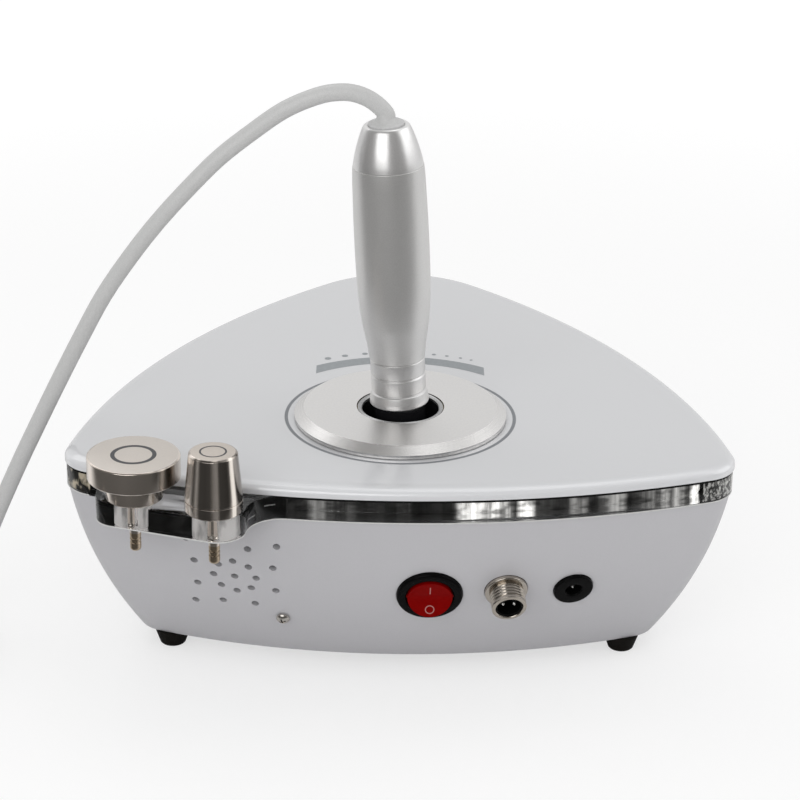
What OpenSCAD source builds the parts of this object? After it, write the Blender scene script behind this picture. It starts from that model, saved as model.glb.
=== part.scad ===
// Facial toning device: a desk-top case with an intensity dial, a lift-out handpiece and two probe heads.
// The dial's axis is the centre of the plan. The rear wall, with its ports, faces -Y and the nose faces +Y.

/* [Case] */
// Full width of the case
case_w = 233; // [224:1:242]
// From the dial's axis back to the rear edge
rear_reach = 58.8; // [56:0.2:63]
// From the dial's axis forward to the tip of the nose
nose_reach = 150; // [144:1:158]
// Radius of the bowed rear edge
rear_bow_r = 303; // [280:1:340]
// Radius of the bowed sides
side_bow_r = 284; // [270:1:320]
// Radius of the rear corners
corner_r = 14; // [12:0.5:17]
// Radius of the nose
nose_r = 43; // [38:1:48]
// Height of the moulded housing
housing_h = 65; // [60:1:72]
// How far the sides draw in from the housing's top to its bottom
side_draft = 22; // [19:0.5:26]
// How far the rear wall draws in from the housing's top to its bottom
rear_draft = 27.4; // [24:0.2:30]
// How far the nose draws in from the housing's top to its bottom
nose_draft = 22.4; // [18:0.2:26]
// Wall of the moulded housing
wall_t = 2.5; // [2:0.1:3]
// Rounding of the housing's bottom edge
base_round = 1; // [0.5:0.1:2]
// Step from the cover in to the clear band, and again to the housing
band_step = 0.5; // [0.3:0.1:0.8]

/* [Clear band and probe holder] */
// Thickness of the clear plate
band_t = 9; // [7:0.5:11]
// Width of the band round the case
band_w = 14; // [12:0.5:18]
// Radius of the holder's left end
lobe_left_r = 8; // [7:0.5:9]
// Radius of the holder's right end
lobe_right_r = 9.4; // [8.5:0.2:10]
// Radius of the fillet from the holder to the band
lobe_fillet_r = 12; // [9:0.5:15]
// Clearance round a probe's pin in the holder
holder_clear = 0.2; // [0.1:0.05:0.4]

/* [Cover] */
// Height of the cover's rounded rim
rim_h = 4; // [3.5:0.1:5]
// Width of the cover's rounded rim
rim_w = 5; // [4.5:0.1:6]
// Rise of the cover from its rim to the dial
dome_h = 1.5; // [0.8:0.1:2]
// Thickness of the cover
cover_t = 2.2; // [1.8:0.1:2.6]

/* [Dial] */
// Radius of the dial
dial_r = 37.7; // [36:0.1:39]
// Radius of the dial's top face
dial_face_r = 34.3; // [33:0.1:35]
// Height of the dial above the cover
dial_h = 4; // [3.8:0.1:5]
// Height of the bevel on the dial
bevel_h = 2.4; // [2:0.1:3]
// Thickness of the dial's top plate
dial_plate_t = 1.6; // [1.4:0.1:1.8]
// Travel of the dial each way
dial_travel = 27; // [20:1:30]
// Gap under the dial
dial_gap = 0.3; // [0.2:0.05:0.5]
// Outer radius of the bearing ring
bearing_r = 17; // [16.8:0.1:17.5]
// Radial clearance of running fits
run_clear = 0.05; // [0.03:0.01:0.08]

/* [Handpiece cup] */
// Outer radius of the trim ring
trim_r = 15.2; // [15:0.1:15.4]
// Radius of the cup's mouth
cup_mouth_r = 13.7; // [13.3:0.1:13.9]
// Radius of the cup at its floor
cup_floor_r = 11.3; // [11.2:0.1:12]
// Gap between the standing handpiece and the cup's floor
seat_gap = 0.3; // [0.2:0.05:0.5]

/* [Handpiece] */
// Lean of the standing handpiece
lean = 3.3; // [2:0.1:3.6]
// Largest radius of the barrel
barrel_r = 13; // [12.5:0.1:13.2]
// Length of the barrel
barrel_l = 71; // [66:0.2:76]
// Length of the tapered end cap
cap_l = 14.4; // [13:0.2:18]
// Radius of the neck
neck_r = 9.65; // [9.2:0.05:9.8]
// Spacing of the neck's grooves
groove_pitch = 6.1; // [5.5:0.1:6.5]
// Radius of the lip under the neck
lip_r = 10.5; // [10:0.1:10.7]
// Length of the nose below the top of the cup
nose_l = 24; // [20:0.5:26]
// Radius of the cord bushing
bushing_r = 6.3; // [6:0.1:6.8]

/* [Probes] */
// Radius of a probe's pin
pin_r = 1.95; // [1.8:0.05:2.2]
// Length of a probe's pin below its collar
pin_l = 19.8; // [18:0.2:22]
// Length of the pin's gilt tip
tip_l = 6.8; // [6:0.2:8]
// Radial clearance of the pin in the handpiece's contact
contact_clear = 0.1; // [0.06:0.01:0.15]
// Radius of the disc probe
disc_r = 15.8; // [14.5:0.1:16.5]
// Height of the disc probe above the holder
disc_top = 15.65; // [14:0.05:17]
// Radius of the disc probe's collar
disc_collar_r = 9.7; // [9:0.1:10.5]
// Radius at the foot of the cone probe
cone_foot_r = 9.8; // [9:0.1:10]
// Radius at the top of the cone probe
cone_top_r = 8.3; // [7.5:0.1:8.6]
// Height of the cone probe above the holder
cone_top = 21.3; // [20:0.1:24]

/* [Rear ports] */
// Radius of the rocker switch's bezel
bezel_r = 11.5; // [11:0.1:12]
// Radius of the bezel's opening
bezel_bore_r = 8; // [7.6:0.05:8.5]
// Tilt of the rocker each side of level
rocker_tilt = 12; // [8:0.5:13]
// Radius of the signal socket's flange
socket_flange_r = 7.5; // [7.2:0.1:8]
// Radius of the signal socket's barrel
socket_barrel_r = 6.1; // [5.8:0.1:6.2]
// Length of the signal socket's barrel in front of the wall
socket_barrel_l = 8.5; // [7:0.5:10]
// Radius of the power jack's flange
jack_flange_r = 7; // [6.6:0.1:7.4]
// Radius of the power jack's bore
jack_bore_r = 2.8; // [2.7:0.05:3]
// Radius of a vent hole
vent_r = 1.35; // [1.1:0.05:1.5]
// Spacing of the rings of vent holes
vent_pitch = 7.6; // [7:0.1:8]

/* [Feet] */
// Height of a foot
foot_h = 6.5; // [5:0.5:8]
// Radius of a foot
foot_r = 6.4; // [5.5:0.1:7]

/* [Cord] */
// Diameter of the cord
cord_d = 6; // [5.8:0.1:6.2]

/* [Hidden] */
$fn = 64;

// Points on each stretch of an outline
rear_n = 14;
corner_n = 6;
side_n = 12;
nose_n = 14;

// Probe places in the plan: the disc probe by the case's rear left corner, the cone probe beside it
disc_at = [26.9 - case_w / 2, 0.8 - rear_reach];
probe_spacing = [27.3, -9.1];
cone_at = disc_at + probe_spacing;
// Centres of the holder's round ends, set from the probes they carry
lobe_left = disc_at + [-5.4, 2.5];
lobe_right = cone_at + [1.3, 1.9];

// Housing sections: [half width, rear edge y, corner radius, rear bow radius, nose centre y, nose radius, side bow]
rim_section = [case_w / 2, -rear_reach, corner_r, rear_bow_r, nose_reach - nose_r, nose_r, side_bow_r];
drawn_in = [-1, 1, -0.6, -1, 0, -1, -1];
band_section = rim_section + band_step * drawn_in;
top_section = rim_section + 2 * band_step * drawn_in;
bottom_section = top_section + [-side_draft, rear_draft, -1.4, -60, -nose_draft + 8.6, -8.6, -12];

// Heights, measured from the cover's lower edge
housing_top = -band_t;
housing_floor = -band_t - housing_h;
foot_bottom = housing_floor - foot_h;
inner_floor = housing_floor + wall_t;
seat_z = rim_h + dome_h;
under_cover = seat_z - cover_t;
dial_top = seat_z + dial_h;
dial_seat_r = dial_r + 3.5;

// The case stands centred on its own box, feet on the ground
rear_most = min(cone_at.y - cone_foot_r, disc_at.y - disc_r);
plan_y = -(nose_reach + rear_most) / 2;

// Wall places: x and height of each port on the rear wall
switch_at = [10.8, -41.0];
socket_at = [37.3, -39.6];
jack_at = [60.9, -40.9];
vent_at = [-56.9, -36.6];
screw_at = [-40.3, -55.3];
// Depth of the flat ground for a flange, and the inner face where a nut seats
spot_d = 0.8;
nut_seat = wall_t + 0.8;
panel_gap = 0.2;

// Switch sizes
bezel_barrel_r = bezel_bore_r + 1.85;
bezel_h = 1.2;
bezel_depth = 9;
pivot_z = -0.4;
rocker_r = bezel_bore_r - 0.15;
pivot_pin_r = 1.2;
pivot_pin_end = rocker_r + 1.2;
rocker_valley = 2.2;
rocker_fold_r = 8;
rocker_depth = 4.5;

// Handpiece heights along its own axis, from the plane of the dial's top
lip_h = 4.8;
neck_top = lip_h + 2 * groove_pitch;
barrel_top = neck_top + barrel_l;
cap_top = barrel_top + cap_l;
hand_x = -0.4;
hand_z = dial_top + 2.2;
neck_bore_r = 6;
nose_tip_r = neck_r - 1.2;
contact_bore_r = pin_r + contact_clear;
contact_l = 18;
bushing_rise = 0.8;
stem_r = cord_d / 2 + 1.3;

// Coil of stored cord: mean radius of its turns, its middle in the plan and its layers
coil_mean_r = 33;
coil_turns_w = 2.9 * cord_d + cord_d;
coil_at = [-190, -41];
coil_layers = 2;
// Plug: its axis, and where its boot meets the cord
plug_x = -231;
plug_y = -65.2;
plug_r = 7.5;
boot_l = 18;
plug_grip_r = 6.2;
plug_neck_r = 5.2;
plug_collar_r = 5.9;

// Route of the hanging cord, in the plane of the dial's axis: x and height above the ground
cord_route = [[-11, 202.5], [-16.5, 205], [-22.5, 205.5], [-30, 204], [-41, 199], [-52, 191], [-63.5, 181.5],
    [-74.5, 170], [-84.5, 158.5], [-94, 146], [-104, 131], [-112.5, 115], [-121, 98], [-128, 83.5],
    [-136, 66.5], [-143.5, 49.5], [-150, 34.5], [-157.5, 22.5], [-167, 13.8]];

// ---- Curves ----

// Arc points from angle a0 up to, but without, angle a1
function arc(c, r, a0, a1, n) =
    [for (i = [0 : n - 1]) let (a = a0 + (a1 - a0) * i / n) c + r * [cos(a), sin(a)]];

// Meeting point of two circles, on the left of the way from the first centre to the second
function circle_meet(p0, r0, p1, r1) =
    let (
        d = norm(p1 - p0),
        u = (p1 - p0) / d,
        a = (r0 * r0 - r1 * r1 + d * d) / (2 * d),
        h = sqrt(r0 * r0 - a * a)
    )
    p0 + a * u + h * [-u.y, u.x];

// Rounded three-sided outline of a section, drawn in by inset
function outline(p, inset = 0) =
    let (
        cx = p[0] - p[2],
        bow = [0, p[1] + p[3]],
        corner = [cx, bow.y - sqrt((p[3] - p[2]) * (p[3] - p[2]) - cx * cx)],
        side = circle_meet(corner, p[6] - p[2], [0, p[4]], p[6] - p[5]),
        a_rear = atan2(corner.y - bow.y, cx),
        a_side = atan2(corner.y - side.y, cx - side.x),
        a_nose = atan2(p[4] - side.y, -side.x)
    )
    concat(
        arc(bow, p[3] - inset, -180 - a_rear, a_rear, rear_n),
        arc(corner, p[2] - inset, a_rear, a_side, corner_n),
        arc(side, p[6] - inset, a_side, a_nose, side_n),
        arc([0, p[4]], p[5] - inset, a_nose, 180 - a_nose, nose_n),
        arc([-side.x, side.y], p[6] - inset, 180 - a_nose, 180 - a_side, side_n),
        arc([-cx, corner.y], p[2] - inset, 180 - a_side, 180 - a_rear, corner_n)
    );

// Share of the draft that a wall has taken up at height z: gentle at the top, steeper below
function draft_share(z) = let (t = (housing_top - z) / housing_h) 0.45 * t + 0.55 * t * t;
function section_at(z) = top_section + (bottom_section - top_section) * draft_share(z);

function ring(points, z) = [for (q = points) [q.x, q.y, z]];

// Smooth run of points through the given ones, n to each span
function spline(p, n) =
    let (last = len(p) - 1)
    concat(
        [for (i = [0 : last - 1], j = [0 : n - 1])
            let (
                a = p[max(i - 1, 0)],
                b = p[i],
                c = p[i + 1],
                d = p[min(i + 2, last)],
                t = j / n
            )
            b + t / 2 * (c - a) + t * t * (a - 2.5 * b + 2 * c - d / 2) + t * t * t / 2 * (3 * b - a - 3 * c + d)],
        [p[last]]
    );

// ---- Solids used by several parts ----

// Solid through a stack of rings, given from the bottom up
module loft(rings) {
    n = len(rings[0]);
    top = (len(rings) - 1) * n;
    polyhedron(
        points = [for (r = rings) each r],
        faces = concat(
            [[for (i = [0 : n - 1]) i]],
            [for (j = [0 : len(rings) - 2], i = [0 : n - 1])
                [j * n + i, (j + 1) * n + i, (j + 1) * n + (i + 1) % n, j * n + (i + 1) % n]],
            [[for (i = [n - 1 : -1 : 0]) top + i]]
        )
    );
}

module tube(r, bore, z0, z1) {
    difference() {
        translate([0, 0, z0]) cylinder(r = r, h = z1 - z0);
        translate([0, 0, z0 - 1]) cylinder(r = bore, h = z1 - z0 + 2);
    }
}

module disc(r, z0, z1) translate([0, 0, z0]) cylinder(r = r, h = z1 - z0);

// Places its children in the plan of the dial, at the height of the cover's lower edge
module case_frame() translate([0, plan_y, -foot_bottom]) children();

// The rear wall's outer face at x and height z
function wall_y(x, z) = let (p = section_at(z)) p[1] + p[3] - sqrt(p[3] * p[3] - x * x);
function wall_tilt(at) = atan(wall_y(at.x, at.y - 0.5) - wall_y(at.x, at.y + 0.5));
function wall_turn(at) = asin(at.x / section_at(at.y)[3]);

// Places its children on the rear wall: local Z out of the wall, local Y up it
module on_wall(at)
    translate([at.x, wall_y(at.x, at.y), at.y])
        rotate([0, 0, wall_turn(at)])
            rotate([90 + wall_tilt(at), 0, 0])
                children();

// Places its children on the standing handpiece's axis
module on_handle() case_frame() translate([hand_x, 0, hand_z]) rotate([0, -lean, 0]) children();

// ---- Case ----

housing_steps = 9;
round_steps = 3;
inner_round = 1;

function housing_rings(inset, z_top, z_low, edge) = concat(
    [for (i = [round_steps : -1 : 1])
        let (a = 90 * i / round_steps, z = z_low + edge * (1 - sin(a)))
        ring(outline(section_at(z), inset + edge * (1 - cos(a))), z)],
    [for (i = [0 : housing_steps])
        let (z = z_low + edge + (z_top - z_low - edge) * i / housing_steps)
        ring(outline(section_at(z), inset), z)]
);

// Ring r of the vent pattern: copies spread evenly from the first angle
module vent_ring(r, copies, first)
    for (i = [0 : copies - 1])
        rotate([0, 0, first + i * 360 / copies])
            translate([r, 0, -wall_t * 3])
                cylinder(r = vent_r, h = wall_t * 6, $fn = 24);

module vents() {
    on_wall(vent_at) {
        translate([0, 0, -wall_t * 3]) cylinder(r = vent_r, h = wall_t * 6, $fn = 24);
        vent_ring(vent_pitch, 8, 0);
        vent_ring(vent_pitch * 2, 8, 22.5);
        for (a = [45, 135, 225])
            rotate([0, 0, a]) vent_ring(vent_pitch * 3, 1, 0);
    }
}

// Hole through the wall with a flat ground for the flange outside
module port_hole(at, flange_r, barrel_r)
    on_wall(at) {
        translate([0, 0, -spot_d]) cylinder(r = flange_r + panel_gap, h = spot_d + 6);
        translate([0, 0, -wall_t * 4]) cylinder(r = barrel_r + panel_gap, h = wall_t * 6);
    }

foot_side_in = 12;
foot_taper = 1.5;
foot_rear_in = 5.6635;
foot_nose_in = 20.6;
foot_at = let (p = bottom_section, x = p[0] - foot_side_in, y = wall_y(x, housing_floor) + foot_rear_in)
    [[-x, y], [x, y], [0, p[4] + p[5] - foot_nose_in]];
foot_screw_r = 1.5;
case_screw_r = 1.6;

module lower_housing() {
    color([0.70, 0.70, 0.72])
        case_frame()
            difference() {
                loft(housing_rings(0, housing_top, housing_floor, base_round));
                loft(housing_rings(wall_t, housing_top + 1, inner_floor, inner_round));
                vents();
                port_hole(switch_at, bezel_r, bezel_barrel_r);
                port_hole(socket_at, socket_flange_r, socket_barrel_r);
                port_hole(jack_at, jack_flange_r, jack_barrel_r);
                on_wall(screw_at) disc(case_screw_r + 0.1, -wall_t * 3, wall_t * 3);
                for (p = foot_at)
                    translate([p.x, p.y, housing_floor - 1]) cylinder(r = foot_screw_r + 0.1, h = wall_t + 2);
            }
}

// Outline of the probe holder, from the band's left corner round both ends and back into the band
function holder_outline() =
    let (
        p = band_section,
        bow = [0, p[1] + p[3]],
        fillet = circle_meet(bow, p[3] + lobe_fillet_r, lobe_right, lobe_right_r + lobe_fillet_r),
        gap = lobe_right - lobe_left,
        run = atan2(gap.y, gap.x) - asin((lobe_right_r - lobe_left_r) / norm(gap)),
        a_end = atan2(fillet.y - lobe_right.y, fillet.x - lobe_right.x),
        a_back = atan2(bow.y - fillet.y, bow.x - fillet.x)
    )
    concat(
        [[lobe_left.x - lobe_left_r, -corner_r * 2]],
        arc(lobe_left, lobe_left_r, -180, run - 90, 6),
        arc(lobe_right, lobe_right_r, run - 90, a_end, 10),
        arc(fillet, lobe_fillet_r, 180 + a_end, a_back, 10),
        [fillet + lobe_fillet_r * [cos(a_back), sin(a_back)], [fillet.x, -corner_r * 2]]
    );

module acrylic_band() {
    color([0.85, 0.88, 0.88, 0.5])
        case_frame()
            difference() {
                translate([0, 0, housing_top])
                    linear_extrude(band_t)
                        difference() {
                            union() {
                                polygon(outline(band_section));
                                polygon(holder_outline());
                            }
                            polygon(outline(band_section + band_w * drawn_in));
                        }
                for (p = [disc_at, cone_at])
                    translate([p.x, p.y, housing_top - 1]) cylinder(r = pin_r + holder_clear, h = band_t + 2);
            }
}

// The cover's outer surface: rounded rim, a crease, then a dome that ends in the dial's round seat
rim_round = rim_h - 1.4;
dome_steps = 5;
function cover_rings(drop, inset) = concat(
    [ring(outline(rim_section, inset), -drop), ring(outline(rim_section, inset), rim_h - rim_round - drop)],
    [for (a = [30, 60, 90])
        ring(outline(rim_section, inset + (rim_w - inset / 2) * (1 - cos(a))),
            rim_h - rim_round * (1 - sin(a)) - drop)],
    [for (i = [1 : dome_steps])
        let (k = i / dome_steps)
        ring(
            [for (q = outline(rim_section, rim_w + inset / 2))
                (1 - k) * q + k * dial_seat_r * q / norm(q)],
            rim_h + dome_h * (1 - (1 - k) * (1 - k)) - drop
        )]
);

module top_cover() {
    color([0.84, 0.84, 0.85])
        case_frame()
            difference() {
                loft(cover_rings(0, 0));
                loft(cover_rings(cover_t, cover_t + 0.6));
                disc(trim_r + 0.3, -1, dial_top);
                for (a = cup_screw_turns)
                    rotate([0, 0, a]) translate([cup_screw_at, 0, 0]) disc(cup_screw_r + run_clear, 0, seat_z - 1);
            }
    // Two posts that stop the dial's lug
    color([0.84, 0.84, 0.85])
        case_frame()
            for (side = [-1, 1])
                stop_sector(side * (dial_travel + lug_half + stop_half + 0.5), stop_half, seat_z - 0.4, stop_top);
}

// Stops of the dial: a lug under it runs between two posts on the cover
stop_in = dial_face_r - 4.5;
stop_out = dial_face_r - 1.5;
stop_half = 2;
lug_half = 3;
stop_top = dial_top - dial_plate_t - 0.4;
module stop_sector(middle, half, z0, z1)
    rotate([0, 0, 270 + middle - half])
        translate([0, 0, z0])
            rotate_extrude(angle = 2 * half)
                translate([stop_in, 0]) square([stop_out - stop_in, z1 - z0]);

module foot(at)
    color([0.1, 0.1, 0.1])
        case_frame()
            translate([at.x, at.y, 0])
                rotate_extrude()
                    polygon(concat([[0, foot_bottom]],
                        arc([foot_r - foot_taper - 1.6, foot_bottom + 1.6], 1.6, -90, -15, 4),
                        [[foot_r, housing_floor - 0.6], [foot_r, housing_floor], [foot_screw_r + 0.1, housing_floor],
                            [foot_screw_r + 0.1, housing_floor - 1], [0, housing_floor - 1]]));

module foot_left() foot(foot_at[0]);
module foot_right() foot(foot_at[1]);
module foot_nose() foot(foot_at[2]);

foot_screw_h = 8;
module foot_screws()
    color([0.6, 0.6, 0.62])
        case_frame()
            for (p = foot_at)
                translate([p.x, p.y, 0]) {
                    disc(foot_screw_r, housing_floor - 1, housing_floor - 1 + foot_screw_h);
                    disc(foot_screw_r * 1.6, inner_floor, inner_floor + 1.6);
                }

screw_head_r = 2.4;
screw_rim_h = 0.7;
screw_dome_h = 1.3;
screw_dome_r = (pow(screw_head_r, 2) + pow(screw_dome_h, 2)) / (2 * screw_dome_h);
screw_dome_at = screw_rim_h + screw_dome_h - screw_dome_r;
module case_screw()
    color([0.75, 0.75, 0.76])
        case_frame()
            on_wall(screw_at) {
                disc(case_screw_r, -9, 0.3);
                translate([0, 0, 0.3])
                    rotate_extrude()
                        polygon(concat([[0, 0], [screw_head_r, 0]],
                            arc([0, screw_dome_at], screw_dome_r,
                                atan2(screw_rim_h - screw_dome_at, screw_head_r), 90, 6),
                            [[0, screw_rim_h + screw_dome_h]]));
            }

// ---- Rocker switch ----

module on_switch() case_frame() on_wall(switch_at) children();

module switch_bezel()
    color([0.08, 0.08, 0.09])
        on_switch()
            difference() {
                rotate_extrude()
                    polygon(concat(
                        [[bezel_bore_r, -bezel_depth], [bezel_barrel_r, -bezel_depth], [bezel_barrel_r, -spot_d],
                            [bezel_r, -spot_d], [bezel_r, bezel_h - 0.8]],
                        arc([bezel_r - 0.8, bezel_h - 0.8], 0.8, 0, 90, 4),
                        [[bezel_r - 0.8, bezel_h], [bezel_bore_r + 0.6, bezel_h], [bezel_bore_r, bezel_h - 0.6]]
                    ));
                translate([0, 0, pivot_z])
                    rotate([0, 90, 0])
                        translate([0, 0, -pivot_pin_end - 0.2])
                            cylinder(r = pivot_pin_r + run_clear, h = 2 * pivot_pin_end + 0.4, $fn = 32);
            }

// Side view of the rocker: two faces that meet in a rounded fold above the pivot
function rocker_side() =
    let (
        out = rocker_r + 1,
        fold = [0, rocker_valley + rocker_fold_r * (1 / cos(rocker_tilt) - 1) + rocker_fold_r],
        edge = rocker_valley + out * tan(rocker_tilt)
    )
    concat([[-out, -rocker_depth], [out, -rocker_depth], [out, edge]],
        arc(fold, rocker_fold_r, -90 + rocker_tilt, -90 - rocker_tilt, 8),
        [[-out, edge]]);

// The rocker stays inside the bezel's bore at both ends of its travel
module rocker_body() {
    sphere(r = rocker_r);
    intersection() {
        translate([-rocker_r - 1, -rocker_r - 1, 0]) cube(2 * rocker_r + 2);
        intersection_for(a = [-rocker_tilt, 0, rocker_tilt])
            rotate([a, 0, 0]) cylinder(r = rocker_r, h = 3 * rocker_r, center = true);
    }
}

// At rest the upper side is pressed in, so the rocker is turned by its tilt
module switch_rocker()
    color([0.75, 0.05, 0.05])
        on_switch()
            translate([0, 0, pivot_z])
                rotate([-rocker_tilt, 0, 0]) {
                    intersection() {
                        rocker_body();
                        translate([-rocker_r - 1, 0, 0])
                            rotate([90, 0, 90]) linear_extrude(2 * rocker_r + 2) polygon(rocker_side());
                    }
                    rotate([0, 90, 0])
                        translate([0, 0, -pivot_pin_end])
                            cylinder(r = pivot_pin_r, h = 2 * pivot_pin_end, $fn = 32);
                }

switch_body_h = 9;
module switch_body()
    color([0.12, 0.12, 0.13])
        on_switch()
            disc(bezel_barrel_r - 0.8, -bezel_depth - switch_body_h, -bezel_depth);

module switch_terminals()
    color([0.8, 0.78, 0.7])
        on_switch()
            for (y = [-6, 0, 6])
                translate([-3.15, y - 0.4, -bezel_depth - switch_body_h - 8]) cube([6.3, 0.8, 8]);

// ---- Signal socket ----

module on_socket() case_frame() on_wall(socket_at) children();

flange_t = 2;
socket_bore_r = 4.7;
socket_tail = 9;
contact_pin_r = 0.75;
contact_pin_x = 2;
// Keyway inside the mouth of the barrel
key_w = 1.4;
key_d = 0.6;
key_l = 3;
nut_t = 2.2;

module signal_socket_shell()
    color([0.72, 0.71, 0.68])
        on_socket()
            difference() {
                union() {
                    disc(socket_flange_r, -spot_d, flange_t - spot_d);
                    disc(socket_barrel_r, -socket_tail, socket_barrel_l);
                }
                disc(socket_bore_r, -socket_tail - 1, socket_barrel_l + 1);
                translate([-key_w / 2, -socket_bore_r - key_d, socket_barrel_l - key_l])
                    cube([key_w, key_d + 1, key_l + 1]);
            }

module signal_socket_insulator()
    color([0.1, 0.1, 0.1])
        on_socket()
            difference() {
                disc(socket_bore_r - run_clear, -socket_tail + 1, 2);
                for (x = [-contact_pin_x, contact_pin_x])
                    translate([x, 0, -socket_tail]) cylinder(r = contact_pin_r + run_clear, h = 20, $fn = 24);
            }

module signal_socket_pins()
    color([0.8, 0.75, 0.6])
        on_socket()
            for (x = [-contact_pin_x, contact_pin_x])
                translate([x, 0, -socket_tail - 3])
                    cylinder(r = contact_pin_r, h = socket_tail + 3 + socket_barrel_l - 2, $fn = 24);

// Hexagonal nut on a barrel, seated on the wall's inner face
module panel_nut(flats, bore_r)
    difference() {
        translate([0, 0, -nut_seat - nut_t]) cylinder(r = flats / 2 / cos(30), h = nut_t, $fn = 6);
        translate([0, 0, -nut_seat - nut_t - 1]) cylinder(r = bore_r, h = nut_t + 2);
    }

module signal_socket_nut() color([0.72, 0.71, 0.68]) on_socket() panel_nut(15, socket_barrel_r + run_clear);

// ---- Power jack ----

module on_jack() case_frame() on_wall(jack_at) children();

jack_barrel_r = 5.5;
jack_tail = 12;
jack_bore_l = 9.6;
jack_pin_r = 1;

module power_jack_body()
    color([0.07, 0.07, 0.08])
        on_jack()
            difference() {
                union() {
                    disc(jack_flange_r, -spot_d, flange_t - spot_d);
                    disc(jack_barrel_r, -jack_tail, 0);
                }
                disc(jack_bore_r, flange_t - spot_d - jack_bore_l, flange_t + 1);
                disc(jack_pin_r + run_clear, -jack_tail + 1.5, flange_t + 1);
            }

module power_jack_pin() color([0.8, 0.78, 0.72]) on_jack() disc(jack_pin_r, -jack_tail + 1.5, flange_t - spot_d - 1);

module power_jack_nut() color([0.6, 0.6, 0.6]) on_jack() panel_nut(14, jack_barrel_r + run_clear);

// ---- Dial ----

hub_bore_r = bearing_r + run_clear;
hub_r = bearing_r + 2.4;
ring_flange_r = bearing_r + 1;
dial_low = seat_z + dial_gap;
plate_low = dial_top - dial_plate_t;
skirt_t = 2;
snap_z = plate_low - 1;
ring_gap = 0.1;
hole_gap = 0.35;

module intensity_dial() {
    color([0.80, 0.79, 0.78])
        case_frame()
            rotate_extrude($fn = 128)
                polygon([[trim_r + hole_gap, plate_low], [ring_flange_r + run_clear, plate_low],
                    [ring_flange_r + run_clear, snap_z], [hub_bore_r, snap_z], [hub_bore_r, dial_low],
                    [hub_r, dial_low], [hub_r, plate_low], [dial_face_r - 0.8, plate_low],
                    [dial_r - skirt_t, dial_top - bevel_h - 0.6], [dial_r - skirt_t, dial_low],
                    [dial_r, dial_low], [dial_r, dial_top - bevel_h], [dial_face_r, dial_top],
                    [trim_r + hole_gap, dial_top]]);
    color([0.80, 0.79, 0.78]) case_frame() stop_sector(0, lug_half, dial_low + 0.2, plate_low + 0.2);
}

module dial_bearing_ring()
    color([0.75, 0.62, 0.35])
        case_frame()
            difference() {
                union() {
                    disc(bearing_r, seat_z, plate_low - ring_gap);
                    disc(ring_flange_r, snap_z + ring_gap, plate_low - ring_gap);
                }
                disc(trim_r + run_clear, seat_z - 1, plate_low + 1);
            }

track_in = hub_r + 1.5;
track_out = stop_in - 1;
track_t = 1;
module track_board()
    color([0.1, 0.35, 0.2])
        case_frame()
            difference() {
                tube(track_out, track_in, seat_z, seat_z + track_t);
                translate([-track_out, -track_out - 4, seat_z - 1]) cube([2 * track_out, track_out, track_t + 2]);
            }

module dial_wiper()
    color([0.8, 0.6, 0.3])
        case_frame()
            rotate([0, 0, 90])
                translate([track_in + 1, -2, seat_z + track_t + run_clear])
                    cube([track_out - track_in - 2, 4, plate_low - seat_z - track_t - run_clear]);

// ---- Cup that holds the handpiece ----

cup_top = dial_top - 0.6;
cup_t = 1.5;
cup_floor = hand_z - nose_l * cos(lean) - nose_tip_r * sin(lean) - seat_gap;
cup_flange_r = 26;
cup_screw_r = 1.2;
cup_screw_at = 21.5;
cup_screw_turns = [for (i = [0 : 2]) 30 + 120 * i];

module socket_cup()
    color([0.05, 0.05, 0.05])
        case_frame()
            difference() {
                union() {
                    disc(trim_r, cup_floor, cup_top - 0.6);
                    disc(cup_flange_r, under_cover - 2, under_cover);
                    translate([0, 0, cup_floor - cup_t]) cylinder(r1 = trim_r - 3, r2 = trim_r, h = cup_t);
                }
                translate([0, 0, cup_floor])
                    cylinder(r1 = cup_floor_r, r2 = cup_mouth_r, h = cup_top - cup_floor);
                for (a = cup_screw_turns)
                    rotate([0, 0, a])
                        translate([cup_screw_at, 0, under_cover - 3])
                            cylinder(r = cup_screw_r + 0.1, h = 4, $fn = 24);
            }

module socket_trim()
    color([0.9, 0.9, 0.9])
        case_frame()
            rotate_extrude()
                polygon([[cup_mouth_r, cup_top - 0.6], [trim_r, cup_top - 0.6], [trim_r, dial_top - 0.2],
                    [trim_r - 0.5, dial_top + 0.1], [trim_r - 1, dial_top - 0.1], [cup_mouth_r, dial_top - 0.5]]);

module cup_screws()
    color([0.7, 0.7, 0.7])
        case_frame()
            for (a = cup_screw_turns)
                rotate([0, 0, a])
                    translate([cup_screw_at, 0, 0]) {
                        disc(cup_screw_r, under_cover - 2.2, seat_z - 1.1);
                        disc(cup_screw_r * 1.9, under_cover - 3.5, under_cover - 2);
                    }

// ---- Electronics ----

board_w = 84;
board_l = 66;
board_t = 1.6;
board_y = -10;
standoff_r = 3;
standoff_h = 8;
standoff_in = 4;
standoff_at = [for (x = [-1, 1], y = [board_y + standoff_in, board_y + board_l - standoff_in])
    [x * (board_w / 2 - standoff_in), y]];
board_z = inner_floor + standoff_h;

module board_standoffs()
    color([0.7, 0.65, 0.45])
        case_frame()
            for (p = standoff_at)
                translate([p.x, p.y, 0]) disc(standoff_r, inner_floor, board_z);

module main_board()
    color([0.05, 0.3, 0.15])
        case_frame()
            translate([-board_w / 2, board_y, board_z]) cube([board_w, board_l, board_t]);

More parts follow.
